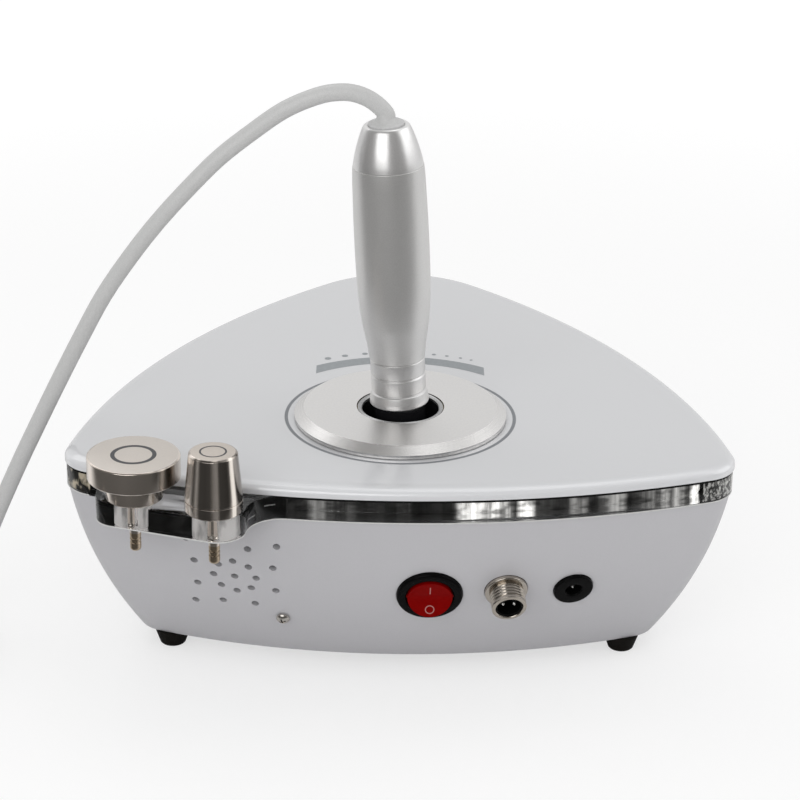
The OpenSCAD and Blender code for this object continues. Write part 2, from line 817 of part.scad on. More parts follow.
coil_plate = [32, 26, 8];
coil_cheek_t = 6;
coil_r = 11;
coil_h = 12;
transformer_at = [2, 22];
module rf_transformer()
    color([0.15, 0.13, 0.12])
        case_frame()
            translate([transformer_at.x, transformer_at.y, board_z + board_t]) {
                cube(coil_plate);
                translate([coil_plate.x / 2, coil_plate.y / 2, coil_plate.z]) cylinder(r = coil_r, h = coil_h);
                translate([0, 0, coil_plate.z + coil_h]) cube([coil_plate.x, coil_plate.y, coil_cheek_t]);
            }

fins = 7;
fin_t = 1.6;
fin_h = 17;
sink_plate = [28, 32, 3];
sink_at = [-34, 16];
module heat_sink()
    color([0.25, 0.25, 0.27])
        case_frame()
            translate([sink_at.x, sink_at.y, board_z + board_t]) {
                cube(sink_plate);
                for (i = [0 : fins - 1])
                    translate([i * (sink_plate.x - fin_t) / (fins - 1), 0, sink_plate.z])
                        cube([fin_t, sink_plate.y, fin_h]);
            }

capacitor_r = 5;
capacitor_h = 14;
capacitor_pitch = 12;
capacitor_y = 4;
module capacitors()
    color([0.1, 0.15, 0.35])
        case_frame()
            for (i = [-2, -1, 1, 2])
                translate([i * capacitor_pitch, capacitor_y, board_z + board_t])
                    cylinder(r = capacitor_r, h = capacitor_h);

// ---- Handpiece ----

// Outer radius of the barrel against the height above its lower end, as shares of its largest radius
barrel_swell = [[0, 0.75], [0.035, 0.775], [0.09, 0.815], [0.14, 0.862], [0.195, 0.91], [0.3, 0.963], [0.41, 0.99],
    [0.55, 1], [0.7, 0.997], [0.85, 0.982], [0.94, 0.97], [1, 0.95]];
barrel_wall = 2;
barrel_bore_r = barrel_r * 0.95 - barrel_wall;
cap_wall = 2;
function barrel_outer() = spline([for (q = barrel_swell) [q[1] * barrel_r, neck_top + q[0] * barrel_l]], 3);

module handle_barrel()
    color([0.72, 0.71, 0.70])
        on_handle()
            rotate_extrude($fn = 96)
                polygon(concat(barrel_outer(),
                    [[barrel_bore_r, barrel_top], [barrel_bore_r, neck_top + 0.3 * barrel_l],
                        [neck_bore_r, neck_top + 0.18 * barrel_l], [neck_bore_r, neck_top]]));

// The end cap draws in along an arc to the flat end that holds the bushing
cap_foot_r = barrel_r * 0.94;
cap_curve = [[0, 1], [0.14, 0.972], [0.3, 0.93], [0.45, 0.883], [0.6, 0.828], [0.75, 0.768], [0.9, 0.698],
    [0.97, 0.652], [1, 0.61]];
module handle_end_cap()
    color([0.74, 0.73, 0.72])
        on_handle()
            difference() {
                rotate_extrude($fn = 96)
                    polygon(concat([[0, barrel_top]],
                        spline([for (q = cap_curve) [q[1] * cap_foot_r, barrel_top + q[0] * cap_l]], 2),
                        [[0, cap_top]]));
                disc(bushing_r + run_clear, cap_top - 2.5, cap_top + 1);
                disc(stem_r + run_clear, barrel_top, cap_top);
                translate([0, 0, barrel_top - 1])
                    cylinder(r1 = cap_foot_r - cap_wall, r2 = stem_r + 0.5, h = cap_l - 3.5);
            }

bead = 0.5;
function neck_ring(z0, z1, r) = [[r - bead, z0], [r, z0 + bead], [r, z1 - bead], [r - bead, z1]];

module handle_neck()
    color([0.76, 0.75, 0.74])
        on_handle()
            rotate_extrude($fn = 96)
                polygon(concat(
                    [[neck_bore_r, 0], [lip_r - 0.3, 0], [lip_r, 0.4], [lip_r - 0.1, lip_h * 0.4],
                        [neck_r + 0.25, lip_h - 0.5], [neck_r - bead, lip_h]],
                    neck_ring(lip_h, lip_h + groove_pitch, neck_r),
                    neck_ring(lip_h + groove_pitch, neck_top, neck_r),
                    [[neck_bore_r, neck_top]]
                ));

// Nose below the lip, in the cup while the handpiece stands there
module handle_nose()
    color([0.06, 0.06, 0.06])
        on_handle()
            rotate_extrude()
                polygon([[neck_bore_r, -nose_l], [nose_tip_r, -nose_l], [neck_r - 0.6, -nose_l + 1],
                    [neck_r - 0.6, 0], [neck_bore_r, 0]]);

insulator_l = 30;
contact_wall = 1.2;
module handle_insulator()
    color([0.9, 0.9, 0.88])
        on_handle()
            tube(neck_bore_r - run_clear, contact_bore_r + contact_wall + run_clear, -nose_l + 0.4,
                -nose_l + insulator_l);

module handle_contact()
    color([0.8, 0.65, 0.3])
        on_handle()
            tube(contact_bore_r + contact_wall, contact_bore_r, -nose_l + 0.6, -nose_l + 0.6 + contact_l);

module cord_bushing()
    color([0.75, 0.75, 0.75])
        on_handle() {
            disc(bushing_r, cap_top - 2.5, cap_top + bushing_rise);
            disc(stem_r, cap_top - 8, cap_top - 2.5);
        }

// ---- Probes ----

module at_disc() case_frame() translate([disc_at.x, disc_at.y, 0]) children();
module at_cone() case_frame() translate([cone_at.x, cone_at.y, 0]) children();

stub_l = 5;
stub_clear = 0.05;
tip_round = 1.2;
groove_r = 0.25;

// Pin with its threaded stub above the holder
module probe_pin() disc(pin_r, -pin_l + tip_l, stub_l);

// Gilt tip with two grooves and a rounded end
module probe_tip()
    rotate_extrude($fn = 48)
        polygon(concat(
            [[0, -pin_l + tip_l], [pin_r, -pin_l + tip_l]],
            [for (g = [1.6, 3.2], q = [[0, 0.2], [groove_r, 0], [groove_r, -0.4], [0, -0.6]])
                [pin_r - q[0], -pin_l + tip_l - g + q[1]]],
            arc([pin_r - tip_round, -pin_l + tip_round], tip_round, 0, -90, 5),
            [[pin_r - tip_round, -pin_l], [0, -pin_l]]
        ));

disc_low = 7.6;
disc_edge = 0.4;
module disc_head()
    color([0.62, 0.58, 0.54])
        at_disc()
            rotate_extrude($fn = 96)
                polygon([[0, disc_low], [disc_r - disc_edge, disc_low], [disc_r, disc_low + disc_edge],
                    [disc_r, disc_top - disc_edge], [disc_r - disc_edge, disc_top], [0, disc_top]]);

module disc_collar()
    color([0.6, 0.56, 0.52])
        at_disc()
            difference() {
                disc(disc_collar_r, 0, disc_low);
                disc(pin_r + stub_clear, -1, stub_l + 0.2);
            }

module disc_pin() color([0.7, 0.66, 0.62]) at_disc() probe_pin();
module disc_tip() color([0.72, 0.6, 0.38]) at_disc() probe_tip();

cone_seam = 4.2;
cone_edge = 0.6;
cone_curve = [[0, 0], [0.15, 0.1], [0.4, 0.36], [0.7, 0.7], [1, 1]];
module cone_head()
    color([0.6, 0.57, 0.55])
        at_cone()
            rotate_extrude($fn = 96)
                polygon(concat([[0, cone_seam]],
                    spline([for (q = cone_curve)
                        [cone_foot_r - (cone_foot_r - cone_top_r) * q[1],
                            cone_seam + (cone_top - cone_edge - cone_seam) * q[0]]], 2),
                    [[cone_top_r - cone_edge, cone_top], [0, cone_top]]));

module cone_collar()
    color([0.58, 0.55, 0.52])
        at_cone()
            difference() {
                rotate_extrude($fn = 96)
                    polygon([[0, 0], [cone_foot_r - 0.5, 0], [cone_foot_r, 0.5], [cone_foot_r, cone_seam],
                        [0, cone_seam]]);
                disc(pin_r + stub_clear, -1, cone_seam - 0.4);
            }

module cone_pin() color([0.7, 0.66, 0.62]) at_cone() disc(pin_r, -pin_l + tip_l, cone_seam - 0.6);
module cone_tip() color([0.72, 0.6, 0.38]) at_cone() probe_tip();

// ---- Cord and plug ----

// The cord leaves the bushing along the handpiece's axis
exit_h = hand_z - foot_bottom + (cap_top + bushing_rise) * cos(lean);
exit_x = hand_x - (cap_top + bushing_rise) * sin(lean);
hand_axis = [-sin(lean), cos(lean)];
exit_run = 3;
cord_path = concat([[exit_x, exit_h], [exit_x, exit_h] + exit_run * hand_axis], cord_route);
cord_sides = 8;

// Ring of a swept tube in the cord's plane, square to the way it runs there
function cord_ring(at, way) =
    [for (i = [0 : cord_sides - 1])
        let (a = 360 * (i + 0.5) / cord_sides, across = cord_d / 2 * cos(a))
        [at.x + across * way.y, cord_d / 2 * sin(a), at.y - across * way.x]];

module cord_tube() {
    route = spline(cord_path, 3);
    last = len(route) - 1;
    color([0.8, 0.8, 0.8])
        translate([0, plan_y, 0])
            loft([for (i = [0 : last])
                let (
                    run = i == 0 ? hand_axis : route[min(i + 1, last)] - route[i - 1],
                    way = run / norm(run)
                )
                cord_ring(route[i], way)]);
}

module cord_coil()
    color([0.8, 0.8, 0.8])
        translate([coil_at.x, coil_at.y + plan_y, 0])
            rotate_extrude()
                translate([coil_mean_r - coil_turns_w / 2, 0])
                    square([coil_turns_w, (coil_layers + 0.08) * cord_d]);

module at_plug() translate([plug_x, plug_y + plan_y, plug_r]) rotate([90, 0, 0]) children();

grip_l = 12;
lip_l = 3.4;
neck_l = lip_l + 0.6;
collar_l = 2;
insert_l = 8;
neck_z = boot_l + grip_l;
collar_z = neck_z + neck_l;

module plug_boot()
    color([0.1, 0.1, 0.1])
        at_plug()
            cylinder(r1 = cord_d / 2 + 0.4, r2 = plug_neck_r, h = boot_l);

module plug_body()
    color([0.72, 0.71, 0.68])
        at_plug() {
            disc(plug_grip_r, boot_l, neck_z);
            disc(plug_neck_r, neck_z, collar_z);
            disc(plug_collar_r, collar_z, collar_z + collar_l);
            difference() {
                disc(plug_neck_r - 0.1, collar_z + collar_l, collar_z + collar_l + insert_l);
                for (x = [-contact_pin_x, contact_pin_x])
                    translate([x, 0, collar_z + collar_l + 1])
                        cylinder(r = contact_pin_r + 0.1, h = insert_l, $fn = 24);
            }
        }

// Coupling ring, held by the body's collar behind its lip
ring_l = 14.2;
module plug_ring()
    color([0.75, 0.74, 0.71])
        at_plug()
            difference() {
                disc(plug_r, neck_z + 0.3, neck_z + 0.3 + ring_l);
                disc(plug_neck_r + run_clear, neck_z - 1, neck_z + 8);
                disc(socket_barrel_r + 0.1, neck_z + 0.3 + lip_l, neck_z + ring_l + 1);
            }

lower_housing();
acrylic_band();
top_cover();
foot_left();
foot_right();
foot_nose();
foot_screws();
case_screw();
switch_bezel();
switch_rocker();
switch_body();
switch_terminals();
signal_socket_shell();
signal_socket_insulator();
signal_socket_pins();
signal_socket_nut();
power_jack_body();
power_jack_pin();
power_jack_nut();
intensity_dial();
dial_wiper();
dial_bearing_ring();
track_board();
socket_cup();
socket_trim();
cup_screws();
board_standoffs();
main_board();
rf_transformer();
heat_sink();
capacitors();
handle_barrel();
handle_end_cap();
handle_neck();
handle_nose();
handle_insulator();
handle_contact();
cord_bushing();
disc_head();
disc_collar();
disc_pin();
disc_tip();
cone_head();
cone_collar();
cone_pin();
cone_tip();
cord_tube();
cord_coil();
plug_boot();
plug_body();
plug_ring();
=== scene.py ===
from math import asin, atan, atan2, cos, degrees, hypot, pi, radians, remainder, sin, sqrt, tan

import bmesh
import bpy
from mathutils import Matrix, Vector

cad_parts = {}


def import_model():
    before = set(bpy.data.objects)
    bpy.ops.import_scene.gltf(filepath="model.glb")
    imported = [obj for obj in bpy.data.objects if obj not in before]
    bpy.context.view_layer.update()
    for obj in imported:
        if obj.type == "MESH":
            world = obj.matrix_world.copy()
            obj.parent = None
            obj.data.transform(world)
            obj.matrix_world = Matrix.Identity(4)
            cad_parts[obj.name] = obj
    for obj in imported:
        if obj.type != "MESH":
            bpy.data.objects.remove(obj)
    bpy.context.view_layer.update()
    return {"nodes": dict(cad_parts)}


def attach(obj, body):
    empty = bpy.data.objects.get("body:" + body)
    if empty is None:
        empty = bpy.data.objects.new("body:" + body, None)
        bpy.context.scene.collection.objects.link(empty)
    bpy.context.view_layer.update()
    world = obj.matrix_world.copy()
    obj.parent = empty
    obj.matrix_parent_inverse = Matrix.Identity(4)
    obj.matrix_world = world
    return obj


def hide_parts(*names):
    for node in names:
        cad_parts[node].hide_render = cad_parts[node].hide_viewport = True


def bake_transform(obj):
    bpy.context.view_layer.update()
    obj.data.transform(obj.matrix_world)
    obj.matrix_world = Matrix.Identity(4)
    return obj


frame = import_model()
nodes = frame["nodes"]

# Facial toning device. Sizes are in millimetres in the case's own frame: the origin is on the dial's axis,
# level with the cover's lower edge, +Y runs to the nose and +Z up. place() turns them into metres of the shared frame.
PLAN_Y = -36.55
RISE = 80.5


def place(x, y, z):
    return Vector((x, y + PLAN_Y, z + RISE)) / 1000


CASE = Matrix.Translation(place(0, 0, 0)) @ Matrix.Scale(0.001, 4)


# ---- camera

PITCH, ROLL, YAW = radians(23.3348), radians(0.8894), radians(0.4024)
FOCAL_PX, DISTANCE = 2759.12, 983.99
FRAME_PX, SENSOR = 800, 36
LOOK_PX = (400.05, 430.33)  # where the origin lands in the picture


def add(name, data):
    """A new object of some data, in the scene."""
    obj = bpy.data.objects.new(name, data)
    bpy.context.scene.collection.objects.link(obj)
    return obj


def add_camera():
    s_yaw, c_yaw = sin(YAW), cos(YAW)
    right_0 = Vector((c_yaw, -s_yaw, 0))
    down_0 = Vector((-s_yaw * sin(PITCH), -c_yaw * sin(PITCH), -cos(PITCH)))
    ahead = Vector((s_yaw * cos(PITCH), c_yaw * cos(PITCH), -sin(PITCH)))
    right = right_0 * cos(ROLL) - down_0 * sin(ROLL)
    down = right_0 * sin(ROLL) + down_0 * cos(ROLL)
    across = (LOOK_PX[0] - FRAME_PX / 2) / FOCAL_PX * DISTANCE
    below = (LOOK_PX[1] - FRAME_PX / 2) / FOCAL_PX * DISTANCE
    at = place(*(-across * right - below * down - DISTANCE * ahead))
    data = bpy.data.cameras.new("camera")
    data.sensor_width = SENSOR
    data.lens = FOCAL_PX / FRAME_PX * SENSOR
    data.clip_start, data.clip_end = 0.05, 30
    camera = add("camera", data)
    turn = Matrix((right, -down, -ahead)).transposed().to_4x4()
    camera.matrix_world = Matrix.Translation(at) @ turn
    bpy.context.scene.camera = camera


add_camera()


# ---- mesh helpers

def mesh_of(name, bm):
    mesh = bpy.data.meshes.new(name)
    bm.to_mesh(mesh)
    bm.free()
    return mesh


def new_object(name, bm, material, matrix=CASE, sharp=35, smooth=True):
    """A mesh object from a bmesh, in a material of M, with its edges sharp above an angle in degrees."""
    mesh = mesh_of(name, bm)
    mesh.transform(Matrix.Scale(0.001, 4))
    mesh.materials.append(M[material])
    obj = add(name, mesh)
    obj.matrix_world = matrix @ Matrix.Scale(1000, 4)
    shade(obj, sharp if smooth else 0)
    return obj


def shade(obj, sharp):
    """Smooth faces with edges sharp above an angle in degrees, or flat faces for 0."""
    for face in obj.data.polygons:
        face.use_smooth = sharp > 0
    if sharp > 0:
        obj.data.set_sharp_from_angle(angle=radians(sharp))


def dress(piece, node=None, body="base"):
    """Hides the CAD node whose place a piece takes, if any, and hangs the piece on the body that carries it."""
    if node:
        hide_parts(node)
    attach(piece, body)


def grid(bm, rings, closed=True, caps=False):
    """Adds faces through a stack of rings of equal length."""
    made = [[bm.verts.new(p) for p in ring] for ring in rings]
    n = len(made[0])
    for low, high in zip(made, made[1:]):
        for i in range(n if closed else n - 1):
            j = (i + 1) % n
            bm.faces.new((low[i], low[j], high[j], high[i]))
    if caps:
        bm.faces.new(list(reversed(made[0])))
        bm.faces.new(made[-1])


def level(points, z):
    """A flat outline, set at a height."""
    return [(x, y, z) for x, y in points]


def skin(rings, closed=True, caps=False, weld=True):
    """Bmesh through a stack of rings, with its normals outwards and, if asked, its doubles welded."""
    bm = bmesh.new()
    grid(bm, rings, closed, caps)
    if weld:
        bmesh.ops.remove_doubles(bm, verts=bm.verts, dist=1e-5)
    bmesh.ops.recalc_face_normals(bm, faces=bm.faces)
    return bm


def rounded(profile, steps=4):
    """A closed profile of (x, y, corner radius) points as points, each corner turned into an arc."""
    out = []
    for i, (x, y, radius) in enumerate(profile):
        p = Vector((x, y))
        a = Vector(profile[i - 1][:2]) - p
        b = Vector(profile[(i + 1) % len(profile)][:2]) - p
        half = a.angle(b) / 2
        if radius <= 0 or half > radians(88):
            out.append((x, y))
            continue
        cut = min(radius / tan(half), 0.48 * a.length, 0.48 * b.length)
        radius = cut * tan(half)
        middle = p + (a.normalized() + b.normalized()).normalized() * radius / sin(half)
        u = p + a.normalized() * cut - middle
        v = p + b.normalized() * cut - middle
        for k in range(steps + 1):
            way = (u * (1 - k / steps) + v * (k / steps)).normalized()
            out.append(tuple(middle + way * radius))
    return out


def circle(sides, count=None):
    """Cosine and sine of each corner's bearing, for all corners or for the given count."""
    turns = [2 * pi * k / sides for k in range(count or sides)]
    return [(cos(a), sin(a)) for a in turns]


def lathe(name, profile, material, matrix=CASE, turns=128, sharp=35):
    """A closed profile of (r, z, corner radius) turned about local Z."""
    points = rounded(profile)
    rings = [[(max(r, 0) * c, max(r, 0) * s, z) for r, z in points] for c, s in circle(turns)]
    return new_object(name, skin(rings + rings[:1]), material, matrix, sharp)


def washer(r_in, r_out, z0, z1):
    """Profile of a flat ring, as a print or an etched line."""
    return [(r_in, z0, 0), (r_out, z0, 0), (r_out, z1, 0), (r_in, z1, 0)]


def boolean(obj, bm, matrix=CASE, operation="DIFFERENCE"):
    """Cuts or joins a tool given as a bmesh in millimetres, and applies the result."""
    tool = add("tool", mesh_of("tool", bm))
    tool.matrix_world = matrix
    modifier = obj.modifiers.new("tool", "BOOLEAN")
    modifier.operation, modifier.solver, modifier.object = operation, "EXACT", tool
    bpy.context.view_layer.update()
    shaped = bpy.data.meshes.new_from_object(obj.evaluated_get(bpy.context.evaluated_depsgraph_get()))
    obj.modifiers.clear()
    obj.data = shaped
    bpy.data.objects.remove(tool)


def prism(points, z0, z1):
    """Bmesh of a flat outline between two heights."""
    return skin([level(points, z) for z in (z0, z1)], caps=True, weld=False)


def cylinders(places):
    """Bmesh of round tools: (x, y, radius, z0, z1, sides)."""
    bm = bmesh.new()
    for x, y, r, z0, z1, sides in places:
        grid(bm, [[(x + r * c, y + r * s, z) for c, s in circle(sides)] for z in (z0, z1)], caps=True)
    bmesh.ops.recalc_face_normals(bm, faces=bm.faces)
    return bm


def polar(r, bearing, centre=(0, 0)):
    a = radians(bearing)
    return centre[0] + r * cos(a), centre[1] + r * sin(a)


def arc(centre, r, a0, a1, n):
    """Points of an arc in degrees, without its last one."""
    return [polar(r, a0 + (a1 - a0) * i / n, centre) for i in range(n)]


def spline(points, n):
    """Smooth run through the points, n to each span."""
    p = [Vector(q) for q in points]
    out = []
    for i in range(len(p) - 1):
        a, b, c, d = p[max(i - 1, 0)], p[i], p[i + 1], p[min(i + 2, len(p) - 1)]
        for j in range(n):
            t = j / n
            out.append(b + (c - a) * (t / 2) + (a - b * 2.5 + c * 2 - d / 2) * (t * t)
                       + (b * 3 - a - c * 3 + d) * (t ** 3 / 2))
    return out + [p[-1]]


# ---- materials

def put(tree, source, socket):
    """Gives an input a value or another node's output."""
    if isinstance(source, bpy.types.NodeSocket):
        tree.links.new(source, socket)
    else:
        socket.default_value = source


def feed(tree, node, **inputs):
    """Gives a node its inputs, and makes it first where it comes as a kind."""
    if isinstance(node, str):
        node = tree.nodes.new("ShaderNode" + node)
    for name, source in inputs.items():
        put(tree, source, node.inputs[name.replace("_", " ")])
    return node


def value(tree, operation, a, b=0.0):
    """Result of a Math node."""
    node = tree.nodes.new("ShaderNodeMath")
    node.operation = operation
    put(tree, a, node.inputs[0])
    put(tree, b, node.inputs[1])
    return node.outputs[0]


def times(tree, a, b):
    return value(tree, "MULTIPLY", a, b)


def plus(tree, a, b):
    return value(tree, "ADD", a, b)


def reach(tree, x, y):
    """Distance from a place to the origin, in plan."""
    return value(tree, "SQRT", plus(tree, times(tree, x, x), times(tree, y, y)))


def parts(tree, source):
    """X, Y and Z of a texture coordinate: Object for a place, Normal or Generated for a direction."""
    node = tree.nodes.new("ShaderNodeSeparateXYZ")
    tree.links.new(tree.nodes.new("ShaderNodeTexCoord").outputs[source], node.inputs[0])
    return [node.outputs[axis] for axis in "XYZ"]


class Paint:
    """A Principled material with helpers for procedural detail."""

    def __init__(self, name, color, metallic=0.0, roughness=0.5, **values):
        self.m = bpy.data.materials.new(name)
        self.m.use_nodes = True
        self.tree = self.m.node_tree
        self.bsdf = self.tree.nodes["Principled BSDF"]
        self.color = color
        self.set(Base_Color=(*color, 1), Metallic=metallic, Roughness=roughness)
        self.set(**values)
        self.coords = self.tree.nodes.new("ShaderNodeTexCoord").outputs["Object"]

    def set(self, **inputs):
        feed(self.tree, self.bsdf, **inputs)
        return self

    def noise(self, scale, detail=3.0, stretch=None):
        vector = self.coords
        if stretch:
            vector = feed(self.tree, "Mapping", Scale=stretch, Vector=vector).outputs["Vector"]
        return feed(self.tree, "TexNoise", Scale=scale, Detail=detail, Vector=vector).outputs["Fac"]

    def ranged(self, value, low, high, source=(0.3, 0.7)):
        """The value, carried from one range to another and held at its ends."""
        return feed(self.tree, "MapRange", From_Min=source[0], From_Max=source[1], To_Min=low, To_Max=high,
                    Value=value).outputs["Result"]

    def vary(self, socket, value, low, high, source=(0.3, 0.7)):
        return self.set(**{socket: self.ranged(value, low, high, source)})

    def tint(self, value, low, high, source=(0.3, 0.7)):
        """Base colour times a factor that follows the value."""
        return self.mix(self.ranged(value, 0, 1, source), self.lit(low), self.lit(high))

    def lit(self, light):
        return [min(c * light, 1) for c in self.color]

    def mix(self, factor, a, b):
        """Base colour between two colours."""
        node = feed(self.tree, "Mix")
        node.data_type = "RGBA"
        feed(self.tree, node, Factor=factor, A=(*a, 1), B=(*b, 1))
        return self.set(Base_Color=node.outputs["Result"])

    def along(self, value, source, stops):
        """Outputs of a colour ramp of (place, colour) stops, which a value runs along."""
        node = feed(self.tree, "ValToRGB", Fac=self.ranged(value, 0, 1, source))
        made = node.color_ramp.elements
        first, last = stops[0][0], stops[-1][0]
        for i, (place, color) in enumerate(stops):
            at = (place - first) / (last - first)
            stop = made[0] if i == 0 else made[-1] if i == len(stops) - 1 else made.new(at)
            stop.position, stop.color = at, color
        return node.outputs

    def bump(self, value, strength, distance=0.0001):
        bump = feed(self.tree, "Bump", Strength=strength, Distance=distance, Height=value)
        return self.set(Normal=bump.outputs["Normal"])


def housing_paint():
    p = Paint("housing_plastic", (0.545, 0.54, 0.56), 0.1, 0.42, Coat_Weight=0.2, Coat_Roughness=0.25)
    p.vary("Roughness", p.noise(900), 0.38, 0.48)
    p.tint(p.noise(6000, 2), 0.96, 1.04)
    return p.bump(p.noise(420, 2), 0.04).m


def cover_paint():
    p = Paint("cover_paint", (0.64, 0.645, 0.66), 0.1, 0.34, Coat_Weight=1.0, Coat_Roughness=0.05)
    # Painted highlight: the surface is made lighter where it turns down over the rim
    rim = p.ranged(parts(p.tree, "Normal")[2], 0.88, 0.0, (0.80, 0.985))
    p.tint(plus(p.tree, p.ranged(p.noise(6000, 2), 0.0, 0.12), rim), 0.98, 1.18, (0, 1))
    return p.bump(p.noise(300, 2), 0.02).m


def clear_acrylic():
    p = Paint("clear_acrylic", (0.985, 0.995, 0.99), 0.0, 0.02, IOR=1.49, Transmission_Weight=1.0)
    return p.bump(p.noise(90, 1), 0.05).m


def metal(name, color, roughness, grain=0.03, scale=1500, stretch=None, spread=0.05, **values):
    p = Paint(name, color, 1.0, roughness, **values)
    fine = p.noise(scale, 3, stretch)
    p.vary("Roughness", fine, roughness - spread, roughness + spread)
    p.tint(fine, 0.96, 1.04)
    return p.bump(fine, grain, 0.00005).m


def plastic(name, color, roughness, grain=0.03, scale=700, shine=0.5):
    p = Paint(name, color, 0.0, roughness, Specular_IOR_Level=shine)
    fine = p.noise(scale, 3)
    p.vary("Roughness", fine, roughness - 0.04, roughness + 0.04)
    p.tint(fine, 0.92, 1.06)
    return p.bump(fine, grain).m


def glowing_streaks(name, color, dull, bright, scale=420, stretch=(1, 1, 0.1), dark=0.2, span=(0.38, 0.6)):
    """Painted light: streaks that glow more or less, standing in for the light that the clear plate gathers and for
    its glints.
    """
    p = Paint(name, color, 0.0, 0.3)
    streak = p.noise(scale, 3, stretch)
    p.tint(streak, dark, 1.0, span)
    # Painted light: the streaks glow by emission
    p.set(Emission_Color=(*color, 1))
    return p.vary("Emission_Strength", streak, dull, bright, span).bump(streak, 0.2, 0.0005).m


# Painted glints on the clear plate's inner wall, standing in for the light its polished faces gather, as (x in mm,
# lightness)
BAND_GLINTS = [(-119, 0.2), (-108, 0.15), (-105, 0), (-33, 0.01), (-30, 0.13), (-22, 0.09), (-14, 0.01),
               (-1, 0.01), (0, 0.16), (2.4, 0.12), (4, 0.006), (18, 0.01), (20.5, 0.6), (24, 0.95), (26, 0.4),
               (31, 1), (35, 0.45), (37, 0.7), (39, 0.03), (41, 0.9), (44, 0.9), (46, 0.03), (56, 0.015), (59, 0.2),
               (66, 0.02), (74, 0.28), (78, 0.02), (95, 0.3), (98.5, 0.02), (100.5, 0.9), (102, 0.7)]
# Strength with which the painted glints glow
BAND_GLOW = 1.3


def band_wall_painted_glints():
    """Black inner wall with painted glints: patches that glow, standing in for the light that the plate's polished
    faces gather.
    """
    p = Paint("band_wall_painted_glints", (0.8, 0.79, 0.77), 0.0, 0.3, Specular_IOR_Level=0.06)
    span = (BAND_GLINTS[0][0] / 1000, BAND_GLINTS[-1][0] / 1000)
    shown = p.along(parts(p.tree, "Object")[0], span, [(x, (light, light, light, 1)) for x, light in BAND_GLINTS])
    streak = p.ranged(p.noise(380, 4, (1, 1, 0.12)), 0.25, 1.3, (0.36, 0.62))
    patch = p.ranged(p.noise(260, 2, (0.5, 1, 1.5)), 0.35, 1.15, (0.4, 0.56))
    light = times(p.tree, times(p.tree, shown["Color"], streak), patch)
    p.mix(light, (0.01, 0.01, 0.01), p.color)
    p.set(Emission_Color=(1, 0.985, 0.96, 1), Emission_Strength=times(p.tree, light, BAND_GLOW))
    return p.m


def probe_metal_painted_reflections(name, painted_stripes):
    """Bright nickel with painted reflections: upright stripes on its sides (degrees, lightness, share of metal) that
    stand in for the lamps mirrored in it.
    """
    p = Paint(name, (0.60, 0.545, 0.495), 1.0, 0.17)
    fine = p.noise(700, 3, (1, 1, 14))
    x, y, _ = parts(p.tree, "Object")
    turn = value(p.tree, "ARCTAN2", x, times(p.tree, y, -1.0))
    shown = p.along(turn, (-pi, pi), [(a, (*p.lit(light), sheen)) for a, light, sheen in painted_stripes])
    p.set(Metallic=shown["Alpha"], Base_Color=shown["Color"])
    p.vary("Roughness", fine, 0.13, 0.21)
    return p.bump(fine, 0.02, 0.00005).m


# Painted reflections: lightness of a probe's side by bearing, in degrees from straight behind the case to the right as
# seen there
DISC_PAINTED_REFLECTIONS = [(-180, 0.9, 1), (-80, 1.2, 1), (-62, 1.6, 1), (-48, 1.45, 1), (-20, 1.5, 1), (-8, 1.62, 1), (4, 1.5, 1),
              (26, 1.3, 1), (34, 0.7, 1), (42, 1.2, 0.85), (50, 0.6, 1), (70, 0.9, 1), (82, 1.3, 0.8), (180, 0.9, 1)]
CONE_PAINTED_REFLECTIONS = [(-180, 0.9, 1), (-76, 0.9, 1), (-66, 1.62, 0.75), (-50, 1.6, 0.85), (-42, 0.8, 1), (-34, 1.5, 0.8),
              (-26, 0.6, 1), (-14, 0.5, 1), (-4, 0.6, 1), (4, 1.3, 0.9), (11, 1.4, 0.85), (17, 0.6, 1), (34, 0.42, 1),
              (40, 0.8, 1), (45, 1.7, 0.25), (52, 1.7, 0.2), (57, 0.6, 1), (70, 0.5, 1), (180, 0.9, 1)]


def dial_metal():
    """Blasted top face, and a bevel turned bright: its fine lines run round the dial."""
    p = Paint("dial_aluminium", (0.74, 0.73, 0.72), 1.0, 0.36)
    fine = p.noise(2600)
    turned = p.ranged(parts(p.tree, "Normal")[2], 1, 0, (0.9, 0.97))
    p.vary("Roughness", turned, 0.36, 0.27, (0, 1))
    p.vary("Anisotropic", turned, 0.0, 0.8, (0, 1))
    around = feed(p.tree, "Tangent")
    around.direction_type, around.axis = "RADIAL", "Z"
    p.set(Tangent=around.outputs[0])
    x, y, _ = parts(p.tree, "Object")
    from_axis = reach(p.tree, x, value(p.tree, "SUBTRACT", y, PLAN_Y / 1000))
    wander = times(p.tree, p.noise(120, 2), 0.0012)
    lines = feed(p.tree, "TexNoise")
    lines.noise_dimensions = "1D"
    feed(p.tree, lines, Scale=7000, Detail=2, W=plus(p.tree, from_axis, wander))
    etched = times(p.tree, value(p.tree, "SUBTRACT", lines.outputs["Fac"], 0.5), turned)
    p.tint(plus(p.tree, p.ranged(p.noise(1300, 4), 0.44, 0.56), etched), 0.92, 1.12)
    return p.bump(fine, 0.05, 0.00005).m


